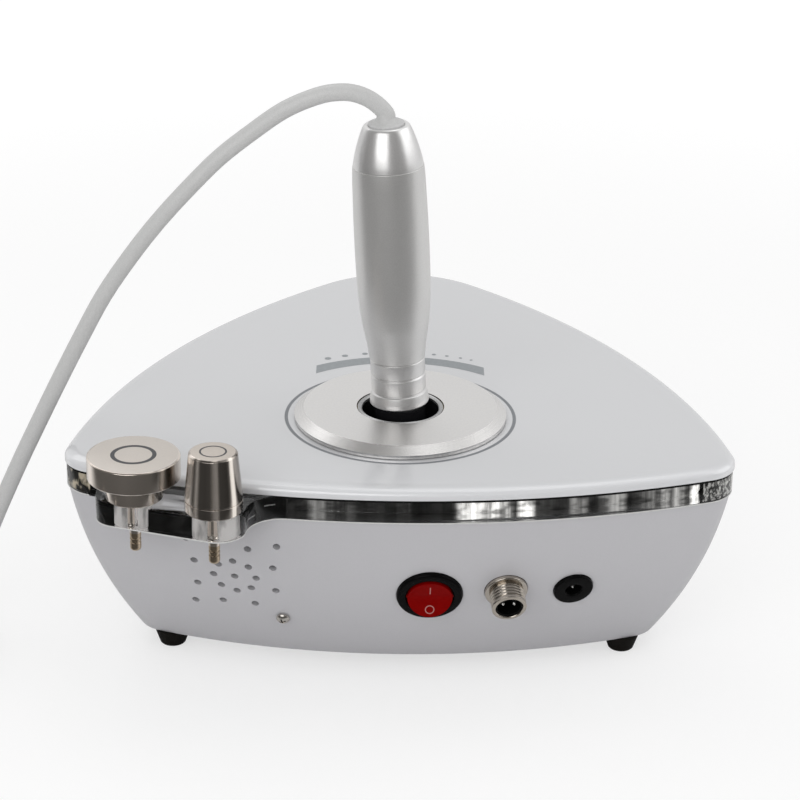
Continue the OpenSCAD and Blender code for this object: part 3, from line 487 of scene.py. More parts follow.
M = {
    "housing": housing_paint(),
    "cover": cover_paint(),
    "acrylic": clear_acrylic(),
    # Black lining, and painted shade where its strips stand for shadow and dark in the clear plate
    "black_lining_and_painted_shade": plastic("black_lining_and_painted_shade", (0.01, 0.01, 0.01), 0.25, shine=0.08),
    # Milky zones round the pins: partly the plate's own look, partly painted glow
    "glowing_streaks": glowing_streaks("milky_painted_glow", (0.80, 0.775, 0.765), 0.08, 0.30, 260, (1, 1, 0.35), 0.6),
    # Painted glints in the plate's corners, right and left
    "crinkled": glowing_streaks("crinkled_painted_glints", (0.72, 0.71, 0.69), 0.0, 0.3, 950, (1, 1, 0.7), 0.04, (0.44, 0.62)),
    "mottled": glowing_streaks("mottled_painted_glints", (0.50, 0.44, 0.34), 0.0, 0.5, 330, (1, 0.6, 0.6), 0.02, (0.48, 0.6)),
    "band_wall_painted_glints": band_wall_painted_glints(),
    "print_light": plastic("print_light", (0.30, 0.32, 0.335), 0.5),
    # Painted highlight for the clear plate's edges and its small glints
    "edge": plastic("painted_edge_highlight", (0.62, 0.62, 0.61), 0.3, 0.02, 1200),
    "print_grey": plastic("print_grey", (0.21, 0.22, 0.235), 0.5),
    "rubber": plastic("foot_rubber", (0.007, 0.006, 0.005), 0.6, 0.12, shine=0.08),
    "steel": metal("steel_fasteners", (0.56, 0.56, 0.57), 0.3),
    "socket": metal("socket_nickel", (0.50, 0.455, 0.40), 0.15, 0.02, spread=0.03),
    "nickel": metal("nickel", (0.60, 0.57, 0.53), 0.16, 0.02, spread=0.04),
    "gloss_black": plastic("gloss_black", (0.003, 0.003, 0.003), 0.2, 0.02, shine=0.05),
    "cup_black": plastic("cup_black", (0.01, 0.01, 0.011), 0.16, 0.02),
    "gloss_red": plastic("gloss_red", (0.19, 0.0004, 0.0002), 0.22, 0.015, shine=0.04),
    "white_mark": plastic("white_mark", (0.42, 0.19, 0.18), 0.5, shine=0.2),
    "black_plastic": plastic("black_plastic", (0.006, 0.006, 0.006), 0.38, 0.05, shine=0.1),
    "brass": metal("brass_contacts", (0.72, 0.58, 0.30), 0.25),
    "pins": metal("contact_pins", (0.85, 0.84, 0.82), 0.3, 0.01, spread=0.03),
    "dial": dial_metal(),
    "board": plastic("circuit_board", (0.02, 0.14, 0.05), 0.4),
    "trim": metal("cup_trim", (0.40, 0.40, 0.40), 0.3, 0.02, Metallic=0.8),
    "dark_alloy": metal("black_aluminium", (0.05, 0.05, 0.055), 0.4),
    "handle": metal("handle_aluminium", (0.73, 0.725, 0.715), 0.38, 0.02, 2600, spread=0.03, Metallic=0.75),
    "cap": metal("cap_aluminium", (0.82, 0.815, 0.81), 0.3, 0.004, 2600, spread=0.02, Metallic=0.8),
    "neck": metal("neck_aluminium", (0.74, 0.735, 0.73), 0.34, 0.02, 2600, spread=0.03, Metallic=0.75),
    "white_plastic": plastic("white_plastic", (0.78, 0.78, 0.75), 0.4),
    "grey_plastic": plastic("grey_plastic", (0.58, 0.58, 0.58), 0.4),
    # Probe sides with painted reflections
    "probe": probe_metal_painted_reflections("probe_steel", DISC_PAINTED_REFLECTIONS),
    "cone": probe_metal_painted_reflections("cone_steel_painted_stripes", CONE_PAINTED_REFLECTIONS),
    "probe_face": metal("probe_face", (0.65, 0.605, 0.56), 0.42, 0.05, 1800),
    "cone_face": metal("cone_face", (0.63, 0.575, 0.52), 0.4, 0.05, 1800),
    "etch": plastic("etched_ring", (0.055, 0.055, 0.06), 0.5),
    "gilt": metal("gilt_tip", (0.60, 0.49, 0.36), 0.2),
    "cord": plastic("cord_pvc", (0.57, 0.57, 0.565), 0.38, 0.01, 3000),
}

# What each plain CAD node is made of
NODES_OF = {
    "rubber": "foot_left foot_right foot_nose",
    "steel": "foot_screws power_jack_nut cup_screws",
    "nickel": "case_screw signal_socket_shell signal_socket_nut plug_body plug_ring",
    "gloss_black": "switch_bezel",
    "gloss_red": "switch_rocker",
    "black_plastic": "switch_body signal_socket_insulator power_jack_body rf_transformer capacitors plug_boot",
    "brass": "switch_terminals dial_wiper dial_bearing_ring board_standoffs handle_contact",
    "pins": "signal_socket_pins power_jack_pin",
    "dial": "intensity_dial",
    "board": "track_board main_board",
    "cup_black": "socket_cup handle_nose",
    "trim": "socket_trim",
    "dark_alloy": "heat_sink",
    "handle": "handle_barrel handle_end_cap handle_neck",
    "white_plastic": "handle_insulator",
    "grey_plastic": "cord_bushing",
    "probe": "disc_head disc_collar disc_pin cone_head cone_collar cone_pin",
    "gilt": "disc_tip cone_tip",
    "cord": "cord_tube cord_coil",
    "housing": "lower_housing",
    "acrylic": "acrylic_band",
    "cover": "top_cover",
}
for key, names in NODES_OF.items():
    for name in names.split():
        for slot in nodes[name].material_slots:
            slot.material = M[key]


# ---- cord

CORD_D = 6
LEAN = radians(3.3)
HAND_X, HAND_Z, CAP_TOP, BUSHING_RISE = -0.4, 11.7, 102.4, 0.8
EXIT = (CAP_TOP + BUSHING_RISE) * cos(LEAN) + HAND_Z
EXIT_X = HAND_X - (CAP_TOP + BUSHING_RISE) * sin(LEAN)
# Centre line in the plane of the dial's axis: x and height above the ground
HANG = [(-11, 202.5), (-16.5, 205), (-22.5, 205.5), (-30, 204), (-41, 199), (-52, 191), (-63.5, 181.5),
        (-74.5, 170), (-84.5, 158.5), (-94, 146), (-104, 131), (-112.5, 115), (-121, 98), (-128, 83.5),
        (-136, 66.5), (-143.5, 49.5), (-150, 34.5), (-157.5, 22.5), (-167, 13.8), (-178, 9.9)]
COIL = (-190, -41)
COIL_OUT, COIL_PITCH = 41, 6.07
LAYER_Z = (9.15, 3.05)
SPIRAL_TURNS, STEP_TURN = 2.5, 0.25
PLUG = (-231, -65.2, 7.5)


def cord_route():
    """Centre line from the bushing down to the coil, round both layers of it and to the plug's boot."""
    lean = Vector((-sin(LEAN), 0, cos(LEAN)))
    start = Vector((EXIT_X, 0, EXIT))
    points = [start, start + 3 * lean] + [Vector((x, 0, z - RISE)) for x, z in HANG]
    per_turn = 24
    inner = COIL_OUT - COIL_PITCH * SPIRAL_TURNS
    total = 2 * SPIRAL_TURNS + STEP_TURN
    for i in range(int(total * per_turn) + 1):
        turn = i / per_turn
        a = radians(90 + 360 * turn)
        if turn <= SPIRAL_TURNS:
            r, z = COIL_OUT - COIL_PITCH * turn, LAYER_Z[0]
        elif turn <= SPIRAL_TURNS + STEP_TURN:
            k = (turn - SPIRAL_TURNS) / STEP_TURN
            r, z = inner, LAYER_Z[0] + (LAYER_Z[1] - LAYER_Z[0]) * k * k * (3 - 2 * k)
        else:
            r, z = inner + COIL_PITCH * (turn - SPIRAL_TURNS - STEP_TURN), LAYER_Z[1]
        points.append(Vector((COIL[0] + r * cos(a), COIL[1] + r * sin(a), z - RISE)))
    end = points[-1]
    for k, lift in ((0.35, 0.12), (0.7, 0.6), (1, 1)):
        points.append(Vector((end.x + (PLUG[0] - end.x) * k, end.y + (PLUG[1] - end.y) * k,
                              LAYER_Z[1] + (PLUG[2] - LAYER_Z[1]) * lift - RISE)))
    return spline(points, 4)


def sweep(name, route, radius, material, sides=20):
    """A round tube along a route, in millimetres, carried from ring to ring without twisting."""
    rings = []
    across = Vector((0, 1, 0))
    for i, p in enumerate(route):
        way = (route[min(i + 1, len(route) - 1)] - route[max(i - 1, 0)]).normalized()
        across = (across - way * across.dot(way)).normalized()
        other = way.cross(across)
        rings.append([p + radius * (c * across + s * other) for c, s in circle(sides)])
    return new_object(name, skin(rings, caps=True), material)


route = cord_route()
cord = sweep("handpiece_cord", route, CORD_D / 2, "cord")
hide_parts("cord_tube", "cord_coil")
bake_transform(cord)


# ---- case outline

# Section: half width, rear edge, corner radius, rear bow radius, nose centre, nose radius, side bow radius
RIM = [116.5, -58.8, 14, 303, 107, 43, 284]
DRAWN_IN = [-1, 1, -0.6, -1, 0, -1, -1]
BAND_STEP, BAND_T, BAND_W = 0.5, 9, 14
SIDE_DRAFT, REAR_DRAFT, NOSE_DRAFT = 22, 27.4, 22.4
HOUSING_H, WALL_T, BASE_ROUND = 65, 2.5, 1
HOUSING_TOP = -BAND_T
HOUSING_FLOOR = HOUSING_TOP - HOUSING_H


def drawn(section, by):
    return [a + by * b for a, b in zip(section, DRAWN_IN)]


TOP = drawn(RIM, 2 * BAND_STEP)
BOTTOM = [a + b for a, b in zip(TOP, [-SIDE_DRAFT, REAR_DRAFT, -1.4, -60, -NOSE_DRAFT + 8.6, -8.6, -12])]


def section_at(z):
    t = (HOUSING_TOP - z) / HOUSING_H
    share = 0.45 * t + 0.55 * t * t
    return [a + (b - a) * share for a, b in zip(TOP, BOTTOM)]


def circle_meet(p0, r0, p1, r1):
    d = (p1 - p0).length
    u = (p1 - p0) / d
    a = (r0 * r0 - r1 * r1 + d * d) / (2 * d)
    h = sqrt(r0 * r0 - a * a)
    return p0 + a * u + h * Vector((-u.y, u.x))


def outline(p, inset=0.0, counts=(60, 14, 44, 40)):
    """Rounded three-sided outline of a section, drawn in by inset."""
    rear_n, corner_n, side_n, nose_n = counts
    cx = p[0] - p[2]
    bow = Vector((0, p[1] + p[3]))
    corner = Vector((cx, bow.y - sqrt((p[3] - p[2]) ** 2 - cx * cx)))
    side = circle_meet(corner, p[6] - p[2], Vector((0, p[4])), p[6] - p[5])
    a_rear = degrees(atan2(corner.y - bow.y, cx))
    a_side = degrees(atan2(corner.y - side.y, cx - side.x))
    a_nose = degrees(atan2(p[4] - side.y, -side.x))
    return (arc(bow, p[3] - inset, -180 - a_rear, a_rear, rear_n)
            + arc(corner, p[2] - inset, a_rear, a_side, corner_n)
            + arc(side, p[6] - inset, a_side, a_nose, side_n)
            + arc((0, p[4]), p[5] - inset, a_nose, 180 - a_nose, nose_n)
            + arc((-side.x, side.y), p[6] - inset, 180 - a_nose, 180 - a_side, side_n)
            + arc((-cx, corner.y), p[2] - inset, 180 - a_side, 180 - a_rear, corner_n))


def wall_y(x, z):
    p = section_at(z)
    return p[1] + p[3] - sqrt(p[3] ** 2 - x * x)


def on_wall(x, z):
    """Matrix of a place on the rear wall: local Z out of the wall, local Y up it."""
    turn = asin(x / section_at(z)[3])
    tilt = atan(wall_y(x, z - 0.5) - wall_y(x, z + 0.5))
    return (CASE @ Matrix.Translation((x, wall_y(x, z), z)) @ Matrix.Rotation(turn, 4, "Z")
            @ Matrix.Rotation(pi / 2 + tilt, 4, "X"))


SWITCH, SOCKET, JACK = on_wall(10.8, -41.0), on_wall(37.3, -39.6), on_wall(60.9, -40.9)
VENTS, SCREW = on_wall(-56.9, -36.6), on_wall(-40.3, -55.3)
# Ports: radii of the flange and of the barrel in its hole, flat ground's depth, gap round it, flange's outer face
SWITCH_R, SOCKET_R, JACK_R = (11.5, 9.85), (7.5, 6.1), (7, 5.5)
SPOT_D, PANEL_GAP, FLANGE_T = 0.8, 0.2, 1.2
# Vents: radius of a hole, and rings of them as (copies, radius, first bearing, step)
VENT_R = 1.35
VENT_RINGS = [(1, 0, 0, 0), (8, 7.6, 0, 45), (8, 15.2, 22.5, 45), (3, 22.8, 45, 90)]


# ---- housing

def housing():
    round_n, wall_n = 5, 26
    rings = []
    for i in range(round_n, 0, -1):
        a = pi / 2 * i / round_n
        z = HOUSING_FLOOR + BASE_ROUND * (1 - sin(pi / 2 - a))
        rings.append(level(outline(section_at(z), BASE_ROUND * (1 - cos(a))), z))
    for i in range(wall_n + 1):
        z = HOUSING_FLOOR + BASE_ROUND + (HOUSING_H - BASE_ROUND) * i / wall_n
        rings.append(level(outline(section_at(z)), z))
    for i in range(wall_n, -1, -1):
        z = HOUSING_FLOOR + WALL_T + (HOUSING_H - WALL_T) * i / wall_n
        rings.append(level(outline(section_at(z), WALL_T), z))
    shell = new_object("housing_shell", skin(rings, caps=True), "housing")
    holes = [polar(r, first + step * i) for copies, r, first, step in VENT_RINGS for i in range(copies)]
    boolean(shell, cylinders([(x, y, VENT_R, -8, 8, 24) for x, y in holes]), VENTS)
    for at, (flange, barrel) in ((SWITCH, SWITCH_R), (SOCKET, SOCKET_R), (JACK, JACK_R)):
        boolean(shell, cylinders([(0, 0, flange + PANEL_GAP, -SPOT_D, 6, 96)]), at)
        boolean(shell, cylinders([(0, 0, barrel + PANEL_GAP, -10, 5, 64)]), at)
    boolean(shell, cylinders([(0, 0, 1.7, -8, 8, 32)]), SCREW)
    shade(shell, 32)
    dress(shell, "lower_housing")


housing()


# ---- cover

RIM_H, RIM_W, DOME_H, COVER_T, COVER_WALL = 4, 5, 1.5, 2.2, 2.8
RIM_ROUND = RIM_H - 1.4
SEAT_Z = RIM_H + DOME_H
DIAL_SEAT_R = 41.2
TRIM_R = 15.2


def cover_rings(drop, inset, arc_n=12, dome_n=22):
    rings = [level(outline(RIM, inset), z) for z in (-drop, RIM_H - RIM_ROUND - drop)]
    for i in range(1, arc_n + 1):
        a = pi / 2 * i / arc_n
        z = RIM_H - RIM_ROUND * (1 - sin(a)) - drop
        rings.append(level(outline(RIM, inset + (RIM_W - inset / 2) * (1 - cos(a))), z))
    for i in range(1, dome_n + 1):
        k = i / dome_n
        z = RIM_H + DOME_H * (1 - (1 - k) ** 2) - drop
        ring = []
        for x, y in outline(RIM, RIM_W + inset / 2):
            r = hypot(x, y)
            ring.append(((1 - k) * x + k * DIAL_SEAT_R * x / r, (1 - k) * y + k * DIAL_SEAT_R * y / r, z))
        rings.append(ring)
    return rings


def cover_z(x, y):
    """Height of the cover's outer surface at a place on its dome."""
    r = hypot(x, y)
    if r <= DIAL_SEAT_R:
        return SEAT_Z
    a = atan2(y, x)
    edge = min(outline(RIM, RIM_W), key=lambda q: abs(remainder(atan2(q[1], q[0]) - a, 2 * pi)))
    reach = hypot(*edge)
    k = (reach - r) / (reach - DIAL_SEAT_R)
    return RIM_H + DOME_H * (1 - (1 - k) ** 2)


def hole_ring(r, z, like):
    """Ring of a hole with one point for each point of another ring, at the same bearing."""
    return [(r * x / hypot(x, y), r * y / hypot(x, y), z) for x, y, _ in like]


def cover():
    outer = cover_rings(0, 0)
    inner = cover_rings(COVER_T, COVER_WALL)
    rim_in = level(outline(RIM, COVER_WALL), 0)
    hole = TRIM_R + 0.3
    bore = [hole_ring(hole, SEAT_Z, outer[-1]), hole_ring(hole, SEAT_Z - COVER_T, inner[-1])]
    rings = [rim_in] + outer + bore + inner[:1:-1] + [rim_in]
    dress(new_object("cover_shell", skin(rings), "cover", sharp=40), "top_cover")


cover()


PRINT_T = 0.03


def printed(name, rings):
    """A thin printed patch that follows the cover: rings of (x, y) from one side to the other."""
    raised = [[(x, y, cover_z(x, y) + PRINT_T) for x, y in ring] for ring in rings]
    dress(new_object(name, skin(raised, closed=False, weld=False), "print_light"))


def prints():
    dress(lathe("printed_dial_ring", washer(39.95, 41.15, SEAT_Z, SEAT_Z + PRINT_T), "print_grey", turns=192))
    # Scale band on the nose side, its ends cut straight
    low, high, reach, n = 49.3, 55.5, 31, 60
    rings = []
    for r in (low, (low + high) / 2, high):
        a = asin(reach / r)
        rings.append([(r * sin(-a + 2 * a * i / n), r * cos(-a + 2 * a * i / n)) for i in range(n + 1)])
    printed("printed_scale_band", rings)
    # Dots beyond it, each smaller than the last
    first_r, step, dots_at = 1.25, 0.075, 59.5
    for i, a in enumerate((116.9, 110.3, 102.8, 95.9, 89.5, 83.4, 77.7, 72.9, 67.7, 63.5)):
        at = Vector(polar(dots_at, a))
        rings = [[(at.x + r * c, at.y + r * s) for c, s in circle(24, 25)]
                 for r in (0.02 * (first_r - step * i), first_r - step * i)]
        printed(f"printed_dot_{i + 1}", rings)


prints()


# ---- clear band

DISC, CONE = Vector((-89.6, -58)), Vector((-62.3, -67.1))
LOBE_L, LOBE_R = DISC + Vector((-5.4, 2.5)), CONE + Vector((1.3, 1.9))
LOBE_L_R, LOBE_R_R, LOBE_FILLET = 8, 9.4, 12
PIN_R, HOLDER_CLEAR = 1.95, 0.2


def holder_outline():
    p = drawn(RIM, BAND_STEP)
    bow = Vector((0, p[1] + p[3]))
    fillet = circle_meet(bow, p[3] + LOBE_FILLET, LOBE_R, LOBE_R_R + LOBE_FILLET)
    gap = LOBE_R - LOBE_L
    run = degrees(atan2(gap.y, gap.x) - asin((LOBE_R_R - LOBE_L_R) / gap.length))
    a_end = degrees(atan2(fillet.y - LOBE_R.y, fillet.x - LOBE_R.x))
    a_back = degrees(atan2(bow.y - fillet.y, bow.x - fillet.x))
    return ([(LOBE_L.x - LOBE_L_R, -28)] + arc(LOBE_L, LOBE_L_R, 180, 270 + run, 18)
            + arc(LOBE_R, LOBE_R_R, 270 + run, 360 + a_end, 24)
            + arc(fillet, LOBE_FILLET, 180 + a_end, a_back, 24)
            + [tuple(fillet + LOBE_FILLET * Vector(polar(1, a_back))), (fillet.x, -28)])


def clear_band():
    outer = drawn(RIM, BAND_STEP)
    band = new_object("clear_band", prism(outline(outer), HOUSING_TOP, 0), "acrylic")
    boolean(band, prism(holder_outline(), HOUSING_TOP, 0), operation="UNION")
    boolean(band, prism(outline(drawn(RIM, BAND_STEP + BAND_W)), HOUSING_TOP - 1, 1))
    boolean(band, cylinders([(p.x, p.y, PIN_R + HOLDER_CLEAR, HOUSING_TOP - 1, 1, 48) for p in (DISC, CONE)]))
    bm = bmesh.new()
    bm.from_mesh(band.data)
    bmesh.ops.dissolve_limit(bm, angle_limit=radians(0.3), verts=bm.verts, edges=bm.edges)
    edges = [e for e in bm.edges if len(e.link_faces) == 2 and e.calc_face_angle() > radians(60)]
    bmesh.ops.bevel(bm, geom=edges, offset=0.00035, segments=2, affect="EDGES", profile=0.5)
    bmesh.ops.recalc_face_normals(bm, faces=bm.faces)
    bm.to_mesh(band.data)
    bm.free()
    shade(band, 30)
    dress(band, "acrylic_band")


def band_lining():
    """Black strip behind the clear band, which keeps the band dark."""
    front, back = (outline(drawn(RIM, BAND_STEP + BAND_W), inset) for inset in (0.1, 0.9))
    loop = ((front, HOUSING_TOP), (front, 0), (back, 0), (back, HOUSING_TOP), (front, HOUSING_TOP))
    rings = [level(points, z) for points, z in loop]
    dress(new_object("band_lining", skin(rings), "black_lining_and_painted_shade"))


def strip(name, path, z0, z1, material, slot="clear_acrylic", thick=0.06):
    """Thin upright strip along a path of (x, y), its outer face on the path's right-hand side."""
    back = []
    for i, p in enumerate(path):
        way = Vector(path[min(i + 1, len(path) - 1)]) - Vector(path[max(i - 1, 0)])
        way.normalize()
        back.append((p[0] - way.y * thick, p[1] + way.x * thick))
    rings = [[(*p, z0), (*p, z1), (*q, z1), (*q, z0)] for p, q in zip(path, back)]
    dress(new_object(name, skin(rings, caps=True, weld=False), material))


HOLDER_SPAN = (-105.5, -45)  # where the holder hides the band's own lower edge
EDGE_Z = (HOUSING_TOP + 0.05, HOUSING_TOP + 0.55)
CORNER_Y, CORNER_Z = -24, (HOUSING_TOP + 0.7, -1.2)


def band_line(section, inset, counts):
    """Outline that starts at its leftmost point, so that its rear side is in one run."""
    line = outline(section, inset, counts)
    left = min(range(len(line)), key=lambda i: line[i][0])
    return line[left:] + line[:left]


def band_details():
    """What shows inside the clear plate, most of it painted light: painted highlights along its lower edges, painted
    shade and painted glints in its curve, milky zones round the probes' pins, partly the plate's own look and partly
    painted glow, painted glints in its corners, a painted shadow under the cover, and the painted glints of its inner
    wall."""
    rim = drawn(RIM, BAND_STEP)
    rear = band_line(rim, -0.02, (90, 14, 44, 40))
    # Painted highlights along the plate's lower edge
    strip("band_edge_highlight_rear", [p for p in rear if p[0] > HOLDER_SPAN[1] and p[1] < 0], *EDGE_Z, "edge")
    strip("band_edge_highlight_corner", [p for p in rear if p[0] < HOLDER_SPAN[0] and p[1] < 0], *EDGE_Z, "edge")
    holder = holder_outline()
    # Painted highlight along the holder's lower edge
    strip("holder_edge_highlight", [(x, y - 0.02) for x, y in holder if y < -40], HOUSING_TOP + 0.05, HOUSING_TOP + 0.5, "edge")
    curve = [(x, y) for x, y in holder if x > LOBE_R.x + 5 and LOBE_R.y - 4 < y < -30]
    # Painted shade: a black strip just under the surface makes the holder's curve look dark
    strip("holder_painted_shade", [(x - 0.3, y + 0.25) for x, y in curve], HOUSING_TOP + 0.8, -0.5,
          "black_lining_and_painted_shade", "black_plastic")
    # Painted glints on the holder's curve
    for i, (first, last, low) in enumerate(((8, 14, -5.6), (18, 24, -3.4))):
        strip(f"holder_glint_{i + 1}", [(x - 0.12, y + 0.1) for x, y in curve[first:last]], low, low + 0.45, "edge")
    # Milky zones round the pins that glow: partly the plate's own look, partly painted light
    for name, at, r, gap in (("disc", DISC, 6, 20), ("cone", CONE, 6.6, 18)):
        ring = [polar(r, a, at) for a in range(-90 + gap, 271 - gap, 4)]
        strip(f"{name}_glowing_bush", ring, HOUSING_TOP + 0.4, -0.4, "glowing_streaks", thick=0.5)
    # Painted shadow: a black line under the cover's edge
    strip("band_painted_shadow", [p for p in rear if p[1] < 40], -1.0, -0.05, "black_lining_and_painted_shade", "black_plastic")
    # Painted glints in the plate's corners
    corners = [p for p in outline(rim, 1.6, (90, 30, 44, 40)) if p[1] < CORNER_Y]
    strip("corner_right", [p for p in corners if p[0] > 103], *CORNER_Z, "crinkled")
    strip("corner_left", sorted(p for p in corners if p[0] < -105), *CORNER_Z, "mottled")
    # Painted glints: the inner wall's strip that glows
    wall = band_line(drawn(RIM, BAND_STEP + BAND_W), -0.08, (300, 14, 44, 40))
    strip("band_glints", [p for p in wall if p[1] < 0], HOUSING_TOP + 0.1, -0.1, "band_wall_painted_glints")


clear_band()
band_lining()
band_details()


# ---- handpiece

HAND = CASE @ Matrix.Translation((HAND_X, 0, HAND_Z)) @ Matrix.Rotation(-LEAN, 4, "Y")
BARREL_R, BARREL_L, CAP_L = 13, 71, 14.4
LIP_H, GROOVE, NECK_R, LIP_R = 4.8, 6.1, 9.65, 10.5
NECK_TOP = LIP_H + 2 * GROOVE
BARREL_TOP = NECK_TOP + BARREL_L
SWELL = [(0, 0.75), (0.035, 0.775), (0.09, 0.815), (0.14, 0.862), (0.195, 0.91), (0.3, 0.963), (0.41, 0.99),
         (0.55, 1), (0.7, 0.997), (0.85, 0.982), (0.94, 0.97), (1, 0.95)]
CAP_CURVE = [(0, 1), (0.14, 0.972), (0.3, 0.93), (0.45, 0.883), (0.6, 0.828), (0.75, 0.768), (0.9, 0.698),
             (0.97, 0.652), (1, 0.61)]
CAP_FOOT_R = BARREL_R * 0.94
BUSHING_R = 6.3


def hand_piece(name, profile, material, node):
    dress(lathe(name, profile, material, HAND, turns=160), node, "handpiece")


def turned_side(curve, first, last, rise=0.0):
    """Profile points of a smooth side, with corner radii at its first and last points."""
    radii = [first] + [0] * (len(curve) - 2) + [last]
    return [(p.x, p.y + rise, r) for p, r in zip(curve, radii)]


def handpiece():
    body = turned_side(spline([(r * BARREL_R, NECK_TOP + share * BARREL_L) for share, r in SWELL], 7), 0.45, 0.4)
    body += [(10.3, BARREL_TOP, 0), (10.3, 38.3, 0), (6.1, 29.8, 0), (6.1, NECK_TOP, 0)]
    hand_piece("barrel_shell", body, "handle", "handle_barrel")

    outer = spline([(r * CAP_FOOT_R, BARREL_TOP + share * CAP_L) for share, r in CAP_CURVE], 6)
    cap = turned_side(outer, 0.3, 0.35, 0.02)
    cap += [(BUSHING_R + 0.1, CAP_TOP, 0.1), (BUSHING_R + 0.1, CAP_TOP - 2.6, 0), (4.6, CAP_TOP - 2.6, 0),
            (4.6, CAP_TOP - 5, 0), (10.2, BARREL_TOP, 0)]
    hand_piece("cap_shell", cap, "cap", "handle_end_cap")

    neck = [(6.1, 0, 0), (LIP_R - 0.3, 0, 0.1), (LIP_R, 0.4, 0.25), (LIP_R - 0.1, LIP_H * 0.4, 1.2),
            (NECK_R + 0.25, LIP_H - 0.5, 0.3), (NECK_R - 0.45, LIP_H, 0.05)]
    for low in (LIP_H, LIP_H + GROOVE):
        neck += [(NECK_R - 0.45, low + 0.05, 0.05), (NECK_R, low + 0.5, 0.3), (NECK_R, low + GROOVE - 0.5, 0.3),
                 (NECK_R - 0.45, low + GROOVE, 0.05)]
    neck += [(6.1, NECK_TOP, 0)]
    hand_piece("neck_shell", neck, "neck", "handle_neck")

    flare = [(0.2, CAP_TOP + 0.3, 0), (5.2, CAP_TOP + 0.3, 0), (5.2, CAP_TOP + BUSHING_RISE, 0.2),
             (4.0, CAP_TOP + BUSHING_RISE + 0.5, 0.6), (3.25, CAP_TOP + 2.4, 0.8), (3.05, CAP_TOP + 4.2, 0),
             (0.2, CAP_TOP + 4.2, 0)]
    hand_piece("cord_flare", flare, "cord", None)
    bushing = [(3.1, CAP_TOP - 2.4, 0), (BUSHING_R, CAP_TOP - 2.4, 0), (BUSHING_R, CAP_TOP + BUSHING_RISE, 0.45),
               (3.1, CAP_TOP + BUSHING_RISE, 0)]
    hand_piece("bushing_disc", bushing, "grey_plastic", "cord_bushing")


handpiece()


# ---- probes

def probe_part(name, profile, at, node=None, material="probe"):
    stand = CASE @ Matrix.Translation((at.x, at.y, 0))
    body = "disc_probe" if at == DISC else "cone_probe"
    dress(lathe(name, profile, material, stand, turns=160), node, body)


def probes():
    disc_r, disc_top, disc_low, collar_r, edge = 15.8, 15.65, 7.6, 9.7, 0.4
    probe_part("disc_rim", [(0, disc_low, 0), (disc_r - edge, disc_low, 0.15), (disc_r, disc_low + edge, 0.3),
                            (disc_r, disc_top - edge, 0.25), (disc_r - edge, disc_top - 0.02, 0.2),
                            (0, disc_top - 0.02, 0)], DISC, "disc_head")
    probe_part("disc_stem", [(2.1, 0, 0), (collar_r - 0.5, 0, 0.3), (collar_r, 0.5, 0.3),
                             (collar_r, disc_low - 0.05, 0.05), (2.1, disc_low - 0.05, 0)], DISC, "disc_collar")
    foot_r, top_r, top, seam, edge = 9.8, 8.3, 21.3, 4.2, 0.6
    curve = [(0, 0), (0.15, 0.1), (0.4, 0.36), (0.7, 0.7), (1, 1)]
    side = spline([(foot_r - (foot_r - top_r) * b, seam + (top - edge - seam) * a) for a, b in curve], 6)
    probe_part("cone_shell", [(0, seam + 0.1, 0), (foot_r - 0.25, seam + 0.1, 0.1)]
               + [(p.x, p.y, 0.3) for p in side[1:]] + [(top_r - edge, top - 0.02, 0.3), (0, top - 0.02, 0)],
               CONE, "cone_head", "cone")
    probe_part("cone_foot", [(2.1, 0, 0), (foot_r - 0.5, 0, 0.3), (foot_r, 0.5, 0.3), (foot_r, seam - 0.2, 0.1),
                             (foot_r - 0.25, seam, 0.1), (2.1, seam, 0)], CONE, "cone_collar", "cone")
    # End face, and the ring that is etched in it
    for kind, at, z, r, r_in, r_out in (("disc", DISC, disc_top, disc_r - 0.6, 6.3, 7.75),
                                        ("cone", CONE, top, top_r - 0.8, 4.0, 4.65)):
        probe_part(f"{kind}_face", [(0, z - 0.3, 0), (r, z - 0.3, 0), (r, z, 0.05), (0, z, 0)], at, None,
                   "probe_face" if at == DISC else "cone_face")
        probe_part(f"{kind}_etch", washer(r_in, r_out, z - 0.1, z + 0.02), at, None, "etch")


probes()


# ---- ports

ROCKER_TILT, PIVOT_Z, ROCKER_VALLEY = radians(12), -0.4, 2.2


def rocker_marks():
    """A bar on the upper half of the rocker and a ring on the lower half, as on any such switch."""
    rocker = SWITCH @ Matrix.Translation((0, 0, PIVOT_Z)) @ Matrix.Rotation(-ROCKER_TILT, 4, "X")
    valley = rocker @ Matrix.Translation((0, 0, ROCKER_VALLEY))
    upper = valley @ Matrix.Rotation(ROCKER_TILT, 4, "X")
    lower = valley @ Matrix.Rotation(-ROCKER_TILT, 4, "X")
    bm = bmesh.new()
    bar = [(-0.18, 2.0), (0.18, 2.0), (0.18, 5.4), (-0.18, 5.4)]
    grid(bm, [level(bar, z) for z in (-0.02, 0.04)], caps=True)
    mark = new_object("rocker_bar", bm, "white_mark", upper, smooth=False)
    ring = lathe("rocker_ring", washer(1.3, 1.65, -0.02, -0.02 + 0.06), "white_mark",
                 lower @ Matrix.Translation((0, -4.5, 0)), 48)
    for piece in (mark, ring):
        dress(piece, body="rocker")


rocker_marks()


def flanged(bore_r, barrel_r, flange_r, low, edge):
    """Profile of a port's shell, from its inner end to the rim of its flange."""
    return [(bore_r, low, 0), (barrel_r, low, 0), (barrel_r, -SPOT_D, 0), (flange_r, -SPOT_D, 0),
            (flange_r, FLANGE_T, edge)]


def contact_pin(name, x, r, low, high, at, node):
    profile = [(0, low, 0), (r, low, 0), (r, high - 0.6, 0.5), (0.15, high, 0.3), (0, high, 0)]
    dress(lathe(name, profile, "pins", at @ Matrix.Translation((x, 0, 0)), 32, 60), node)


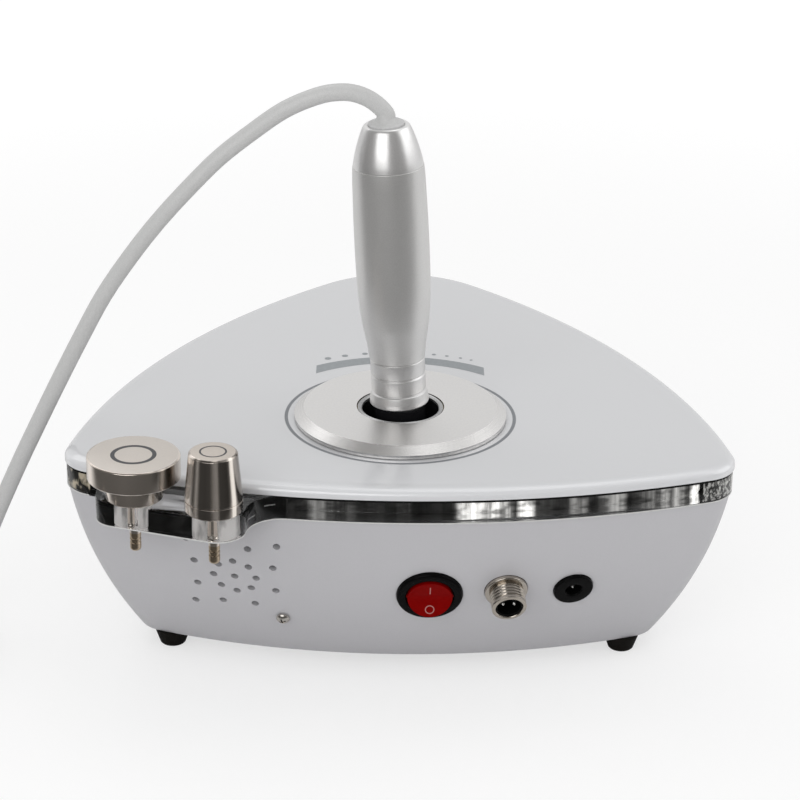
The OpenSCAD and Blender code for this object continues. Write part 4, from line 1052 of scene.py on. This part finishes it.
def ports():
    """Threaded two-pin socket with its black liner, jack, and the rocker switch's bezel."""
    flange_r, barrel_r = SOCKET_R
    barrel_l, bore_r = 8.5, 4.7
    profile = flanged(bore_r, barrel_r - 0.1, flange_r, -9, 0.6)
    profile += [(flange_r - 0.9, 1.25, 0.1), (barrel_r - 0.35, 1.3, 0)]
    z, pitch = 1.9, 1.25
    while z < barrel_l - 2.0:
        profile += [(barrel_r - 0.4, z, 0.05), (barrel_r, z + 0.35, 0.12), (barrel_r, z + 0.6, 0.12),
                    (barrel_r - 0.4, z + 0.95, 0.05)]
        z += pitch
    profile += [(barrel_r - 0.05, z + 0.2, 0.1), (barrel_r, barrel_l - 0.3, 0.25), (bore_r + 0.25, barrel_l, 0.2),
                (bore_r, barrel_l - 0.3, 0.15)]
    dress(lathe("socket_barrel", profile, "socket", SOCKET), "signal_socket_shell")
    liner = [(4.1, 0.5, 0), (4.65, 0.5, 0), (4.65, barrel_l - 0.7, 0), (4.1, barrel_l - 0.9, 0.1)]
    dress(lathe("socket_liner", liner, "gloss_black", SOCKET))
    for side in (-1, 1):
        contact_pin(f"socket_pin_{side + 2}", 2 * side, 0.7, -8, 6.9, SOCKET, "signal_socket_pins")
    contact_pin("jack_pin", 0, 0.55, -8.3, -0.1, JACK, "power_jack_pin")

    (flange_r, barrel_r), face, bore_r = JACK_R, FLANGE_T, 2.8
    profile = flanged(bore_r, barrel_r, flange_r, face - 9.6, 0.5)
    profile += [(bore_r + 0.45, face, 0.1), (bore_r, face - 0.5, 0.1)]
    dress(lathe("jack_shell", profile, "gloss_black", JACK), "power_jack_body")
    dress(lathe("jack_floor", washer(0, 2.75, face - 9.4, face - 9), "black_plastic", JACK, 48))

    (flange_r, barrel_r), bore_r = SWITCH_R, 8
    profile = flanged(bore_r, barrel_r, flange_r, -9, 0.9) + [(bore_r + 0.6, FLANGE_T, 0.3), (bore_r, 0.5, 0.3)]
    dress(lathe("bezel_ring", profile, "gloss_black", SWITCH), "switch_bezel")


ports()


def case_screw():
    """Domed screw with a cross recess."""
    head_r, rim_h, dome_h = 2.4, 1.0, 1.3
    dome_r = (head_r ** 2 + dome_h ** 2) / (2 * dome_h)
    low = asin((dome_r - dome_h) / dome_r)
    dome = [(0, -1, 0), (1.55, -1, 0), (1.55, 0.3, 0), (head_r, 0.3, 0.15), (head_r, rim_h, 0.1)]
    for i in range(1, 9):
        a = low + (pi / 2 - low) * i / 8
        dome.append((dome_r * cos(a), rim_h + dome_h - dome_r * (1 - sin(a)), 0))
    head = lathe("screw_head", dome, "nickel", SCREW, 64)
    for turn in (20, 110):
        a = radians(turn)
        bar = [Vector((x * cos(a) - y * sin(a), x * sin(a) + y * cos(a)))
               for x, y in ((-1.35, -0.27), (1.35, -0.27), (1.35, 0.27), (-1.35, 0.27))]
        rings = [[(p.x * k, p.y * k, z) for p in bar] for z, k in ((1.2, 0.6), (2.5, 1.15))]
        boolean(head, skin(rings, caps=True, weld=False), SCREW)
    shade(head, 35)
    dress(head, "case_screw")


case_screw()


# ---- stage

FLOOR_FRONT = (-0.10, -0.22)  # where the floor that metal mirrors turns dark, in front of the object
LEFT_SHARE = 0.45  # and how far that edge swings round to the left
RIGHT_SHARE = 0.4  # how far the white swings round to the right above the floor
ROOM_EDGE = (-0.25, 0.15)  # where the dark room in front turns into the white behind, as mirrored
FAR_FLOOR = (0.35, 0.9)  # distance at which the floor turns fully white
FLOOR_GLOW, FAR_GLOW, GLOW_SHARE = 1.13, 0.19, 0.55  # how white it looks near and far, and the glow's share in it
SOFT_LIGHT = 0.605


def ramp(tree, source, start, end):
    """0 to 1, smoothly, as source goes from start to end."""
    node = feed(tree, "MapRange", From_Min=start, From_Max=end, Value=source)
    node.interpolation_type = "SMOOTHSTEP"
    return node.outputs["Result"]


def mixed(tree, factor, a, b):
    node = tree.nodes.new("ShaderNodeMixShader")
    for socket, source in zip(node.inputs, (factor, a, b)):
        tree.links.new(source, socket)
    return node.outputs[0]


def floor():
    bm = bmesh.new()
    bmesh.ops.create_circle(bm, cap_ends=True, radius=9, segments=96)
    ground = add("floor", mesh_of("floor", bm))
    m = bpy.data.materials.new("floor")
    m.use_nodes = True
    tree = m.node_tree
    paper = feed(tree, tree.nodes["Principled BSDF"], Base_Color=(0.86, 0.86, 0.86, 1), Roughness=0.9,
                 Specular_IOR_Level=0.1)
    dark = feed(tree, "BsdfDiffuse", Color=(0.10, 0.098, 0.095, 1))
    path = tree.nodes.new("ShaderNodeLightPath")
    x, y, _ = parts(tree, "Object")
    far = times(tree, ramp(tree, reach(tree, x, y), *FAR_FLOOR), FAR_GLOW)
    glow = feed(tree, "Emission", Strength=plus(tree, far, FLOOR_GLOW))
    left = times(tree, value(tree, "MINIMUM", x, 0.0), LEFT_SHARE)
    front = ramp(tree, plus(tree, y, left), *FLOOR_FRONT)
    mirrored = value(tree, "MAXIMUM", path.outputs["Is Glossy Ray"], path.outputs["Is Transmission Ray"])
    ground_shader = mixed(tree, times(tree, mirrored, front), paper.outputs[0], dark.outputs[0])
    seen = times(tree, path.outputs["Is Camera Ray"], GLOW_SHARE)
    lit = mixed(tree, seen, ground_shader, glow.outputs[0])
    feed(tree, tree.nodes["Material Output"], Surface=lit)
    ground.data.materials.append(m)


def world():
    """White all round where it is seen, with a darker room in front of the object for what is mirrored."""
    surroundings = bpy.data.worlds.new("world")
    surroundings.use_nodes = True
    bpy.context.scene.world = surroundings
    tree = surroundings.node_tree
    soft = feed(tree, tree.nodes["Background"], Color=(1, 1, 1, 1), Strength=SOFT_LIGHT)
    backdrop, white, room = (feed(tree, "Background", Color=(*color, 1)).outputs[0]
                             for color in ((1, 1, 1), (0.8, 0.8, 0.8), (0.16, 0.155, 0.15)))
    path = tree.nodes.new("ShaderNodeLightPath")
    x, y, _ = parts(tree, "Generated")
    left = times(tree, value(tree, "MINIMUM", x, 0.0), LEFT_SHARE)
    right = times(tree, value(tree, "MAXIMUM", x, 0.0), RIGHT_SHARE)
    behind = ramp(tree, plus(tree, plus(tree, y, left), right), *ROOM_EDGE)
    mirrored = mixed(tree, behind, room, white)
    seen = value(tree, "MAXIMUM", path.outputs["Is Glossy Ray"], path.outputs["Is Transmission Ray"])
    base = mixed(tree, seen, soft.outputs[0], mirrored)
    final = mixed(tree, path.outputs["Is Camera Ray"], base, backdrop)
    feed(tree, tree.nodes["World Output"], Surface=final)


def softbox(name, azimuth, elevation, distance, size, power):
    """A lamp that faces the object: azimuth in degrees from straight in front, to the right as seen there."""
    a, e = radians(azimuth), radians(elevation)
    aim = Vector((0, -0.03, 0.08))
    at = aim + distance * Vector((sin(a) * cos(e), -cos(a) * cos(e), sin(e)))
    data = bpy.data.lights.new(name, "AREA")
    data.shape = "RECTANGLE"
    data.size, data.size_y = size
    data.energy = power
    light = add(name, data)
    light.location = at
    light.rotation_euler = (aim - at).to_track_quat("-Z", "Y").to_euler()


floor()
world()
softbox("front_left", -22, 27, 1.5, (1.15, 1.0), 6.6)
softbox("right", 94, 30, 1.5, (1.5, 0.9), 3.7)
softbox("back_left", -140, 50, 1.6, (1.0, 0.8), 2.5)
softbox("overhead", 150, 78, 1.6, (1.0, 0.8), 2)

bpy.context.scene.view_settings.view_transform = "Standard"

bpy.context.view_layer.update()
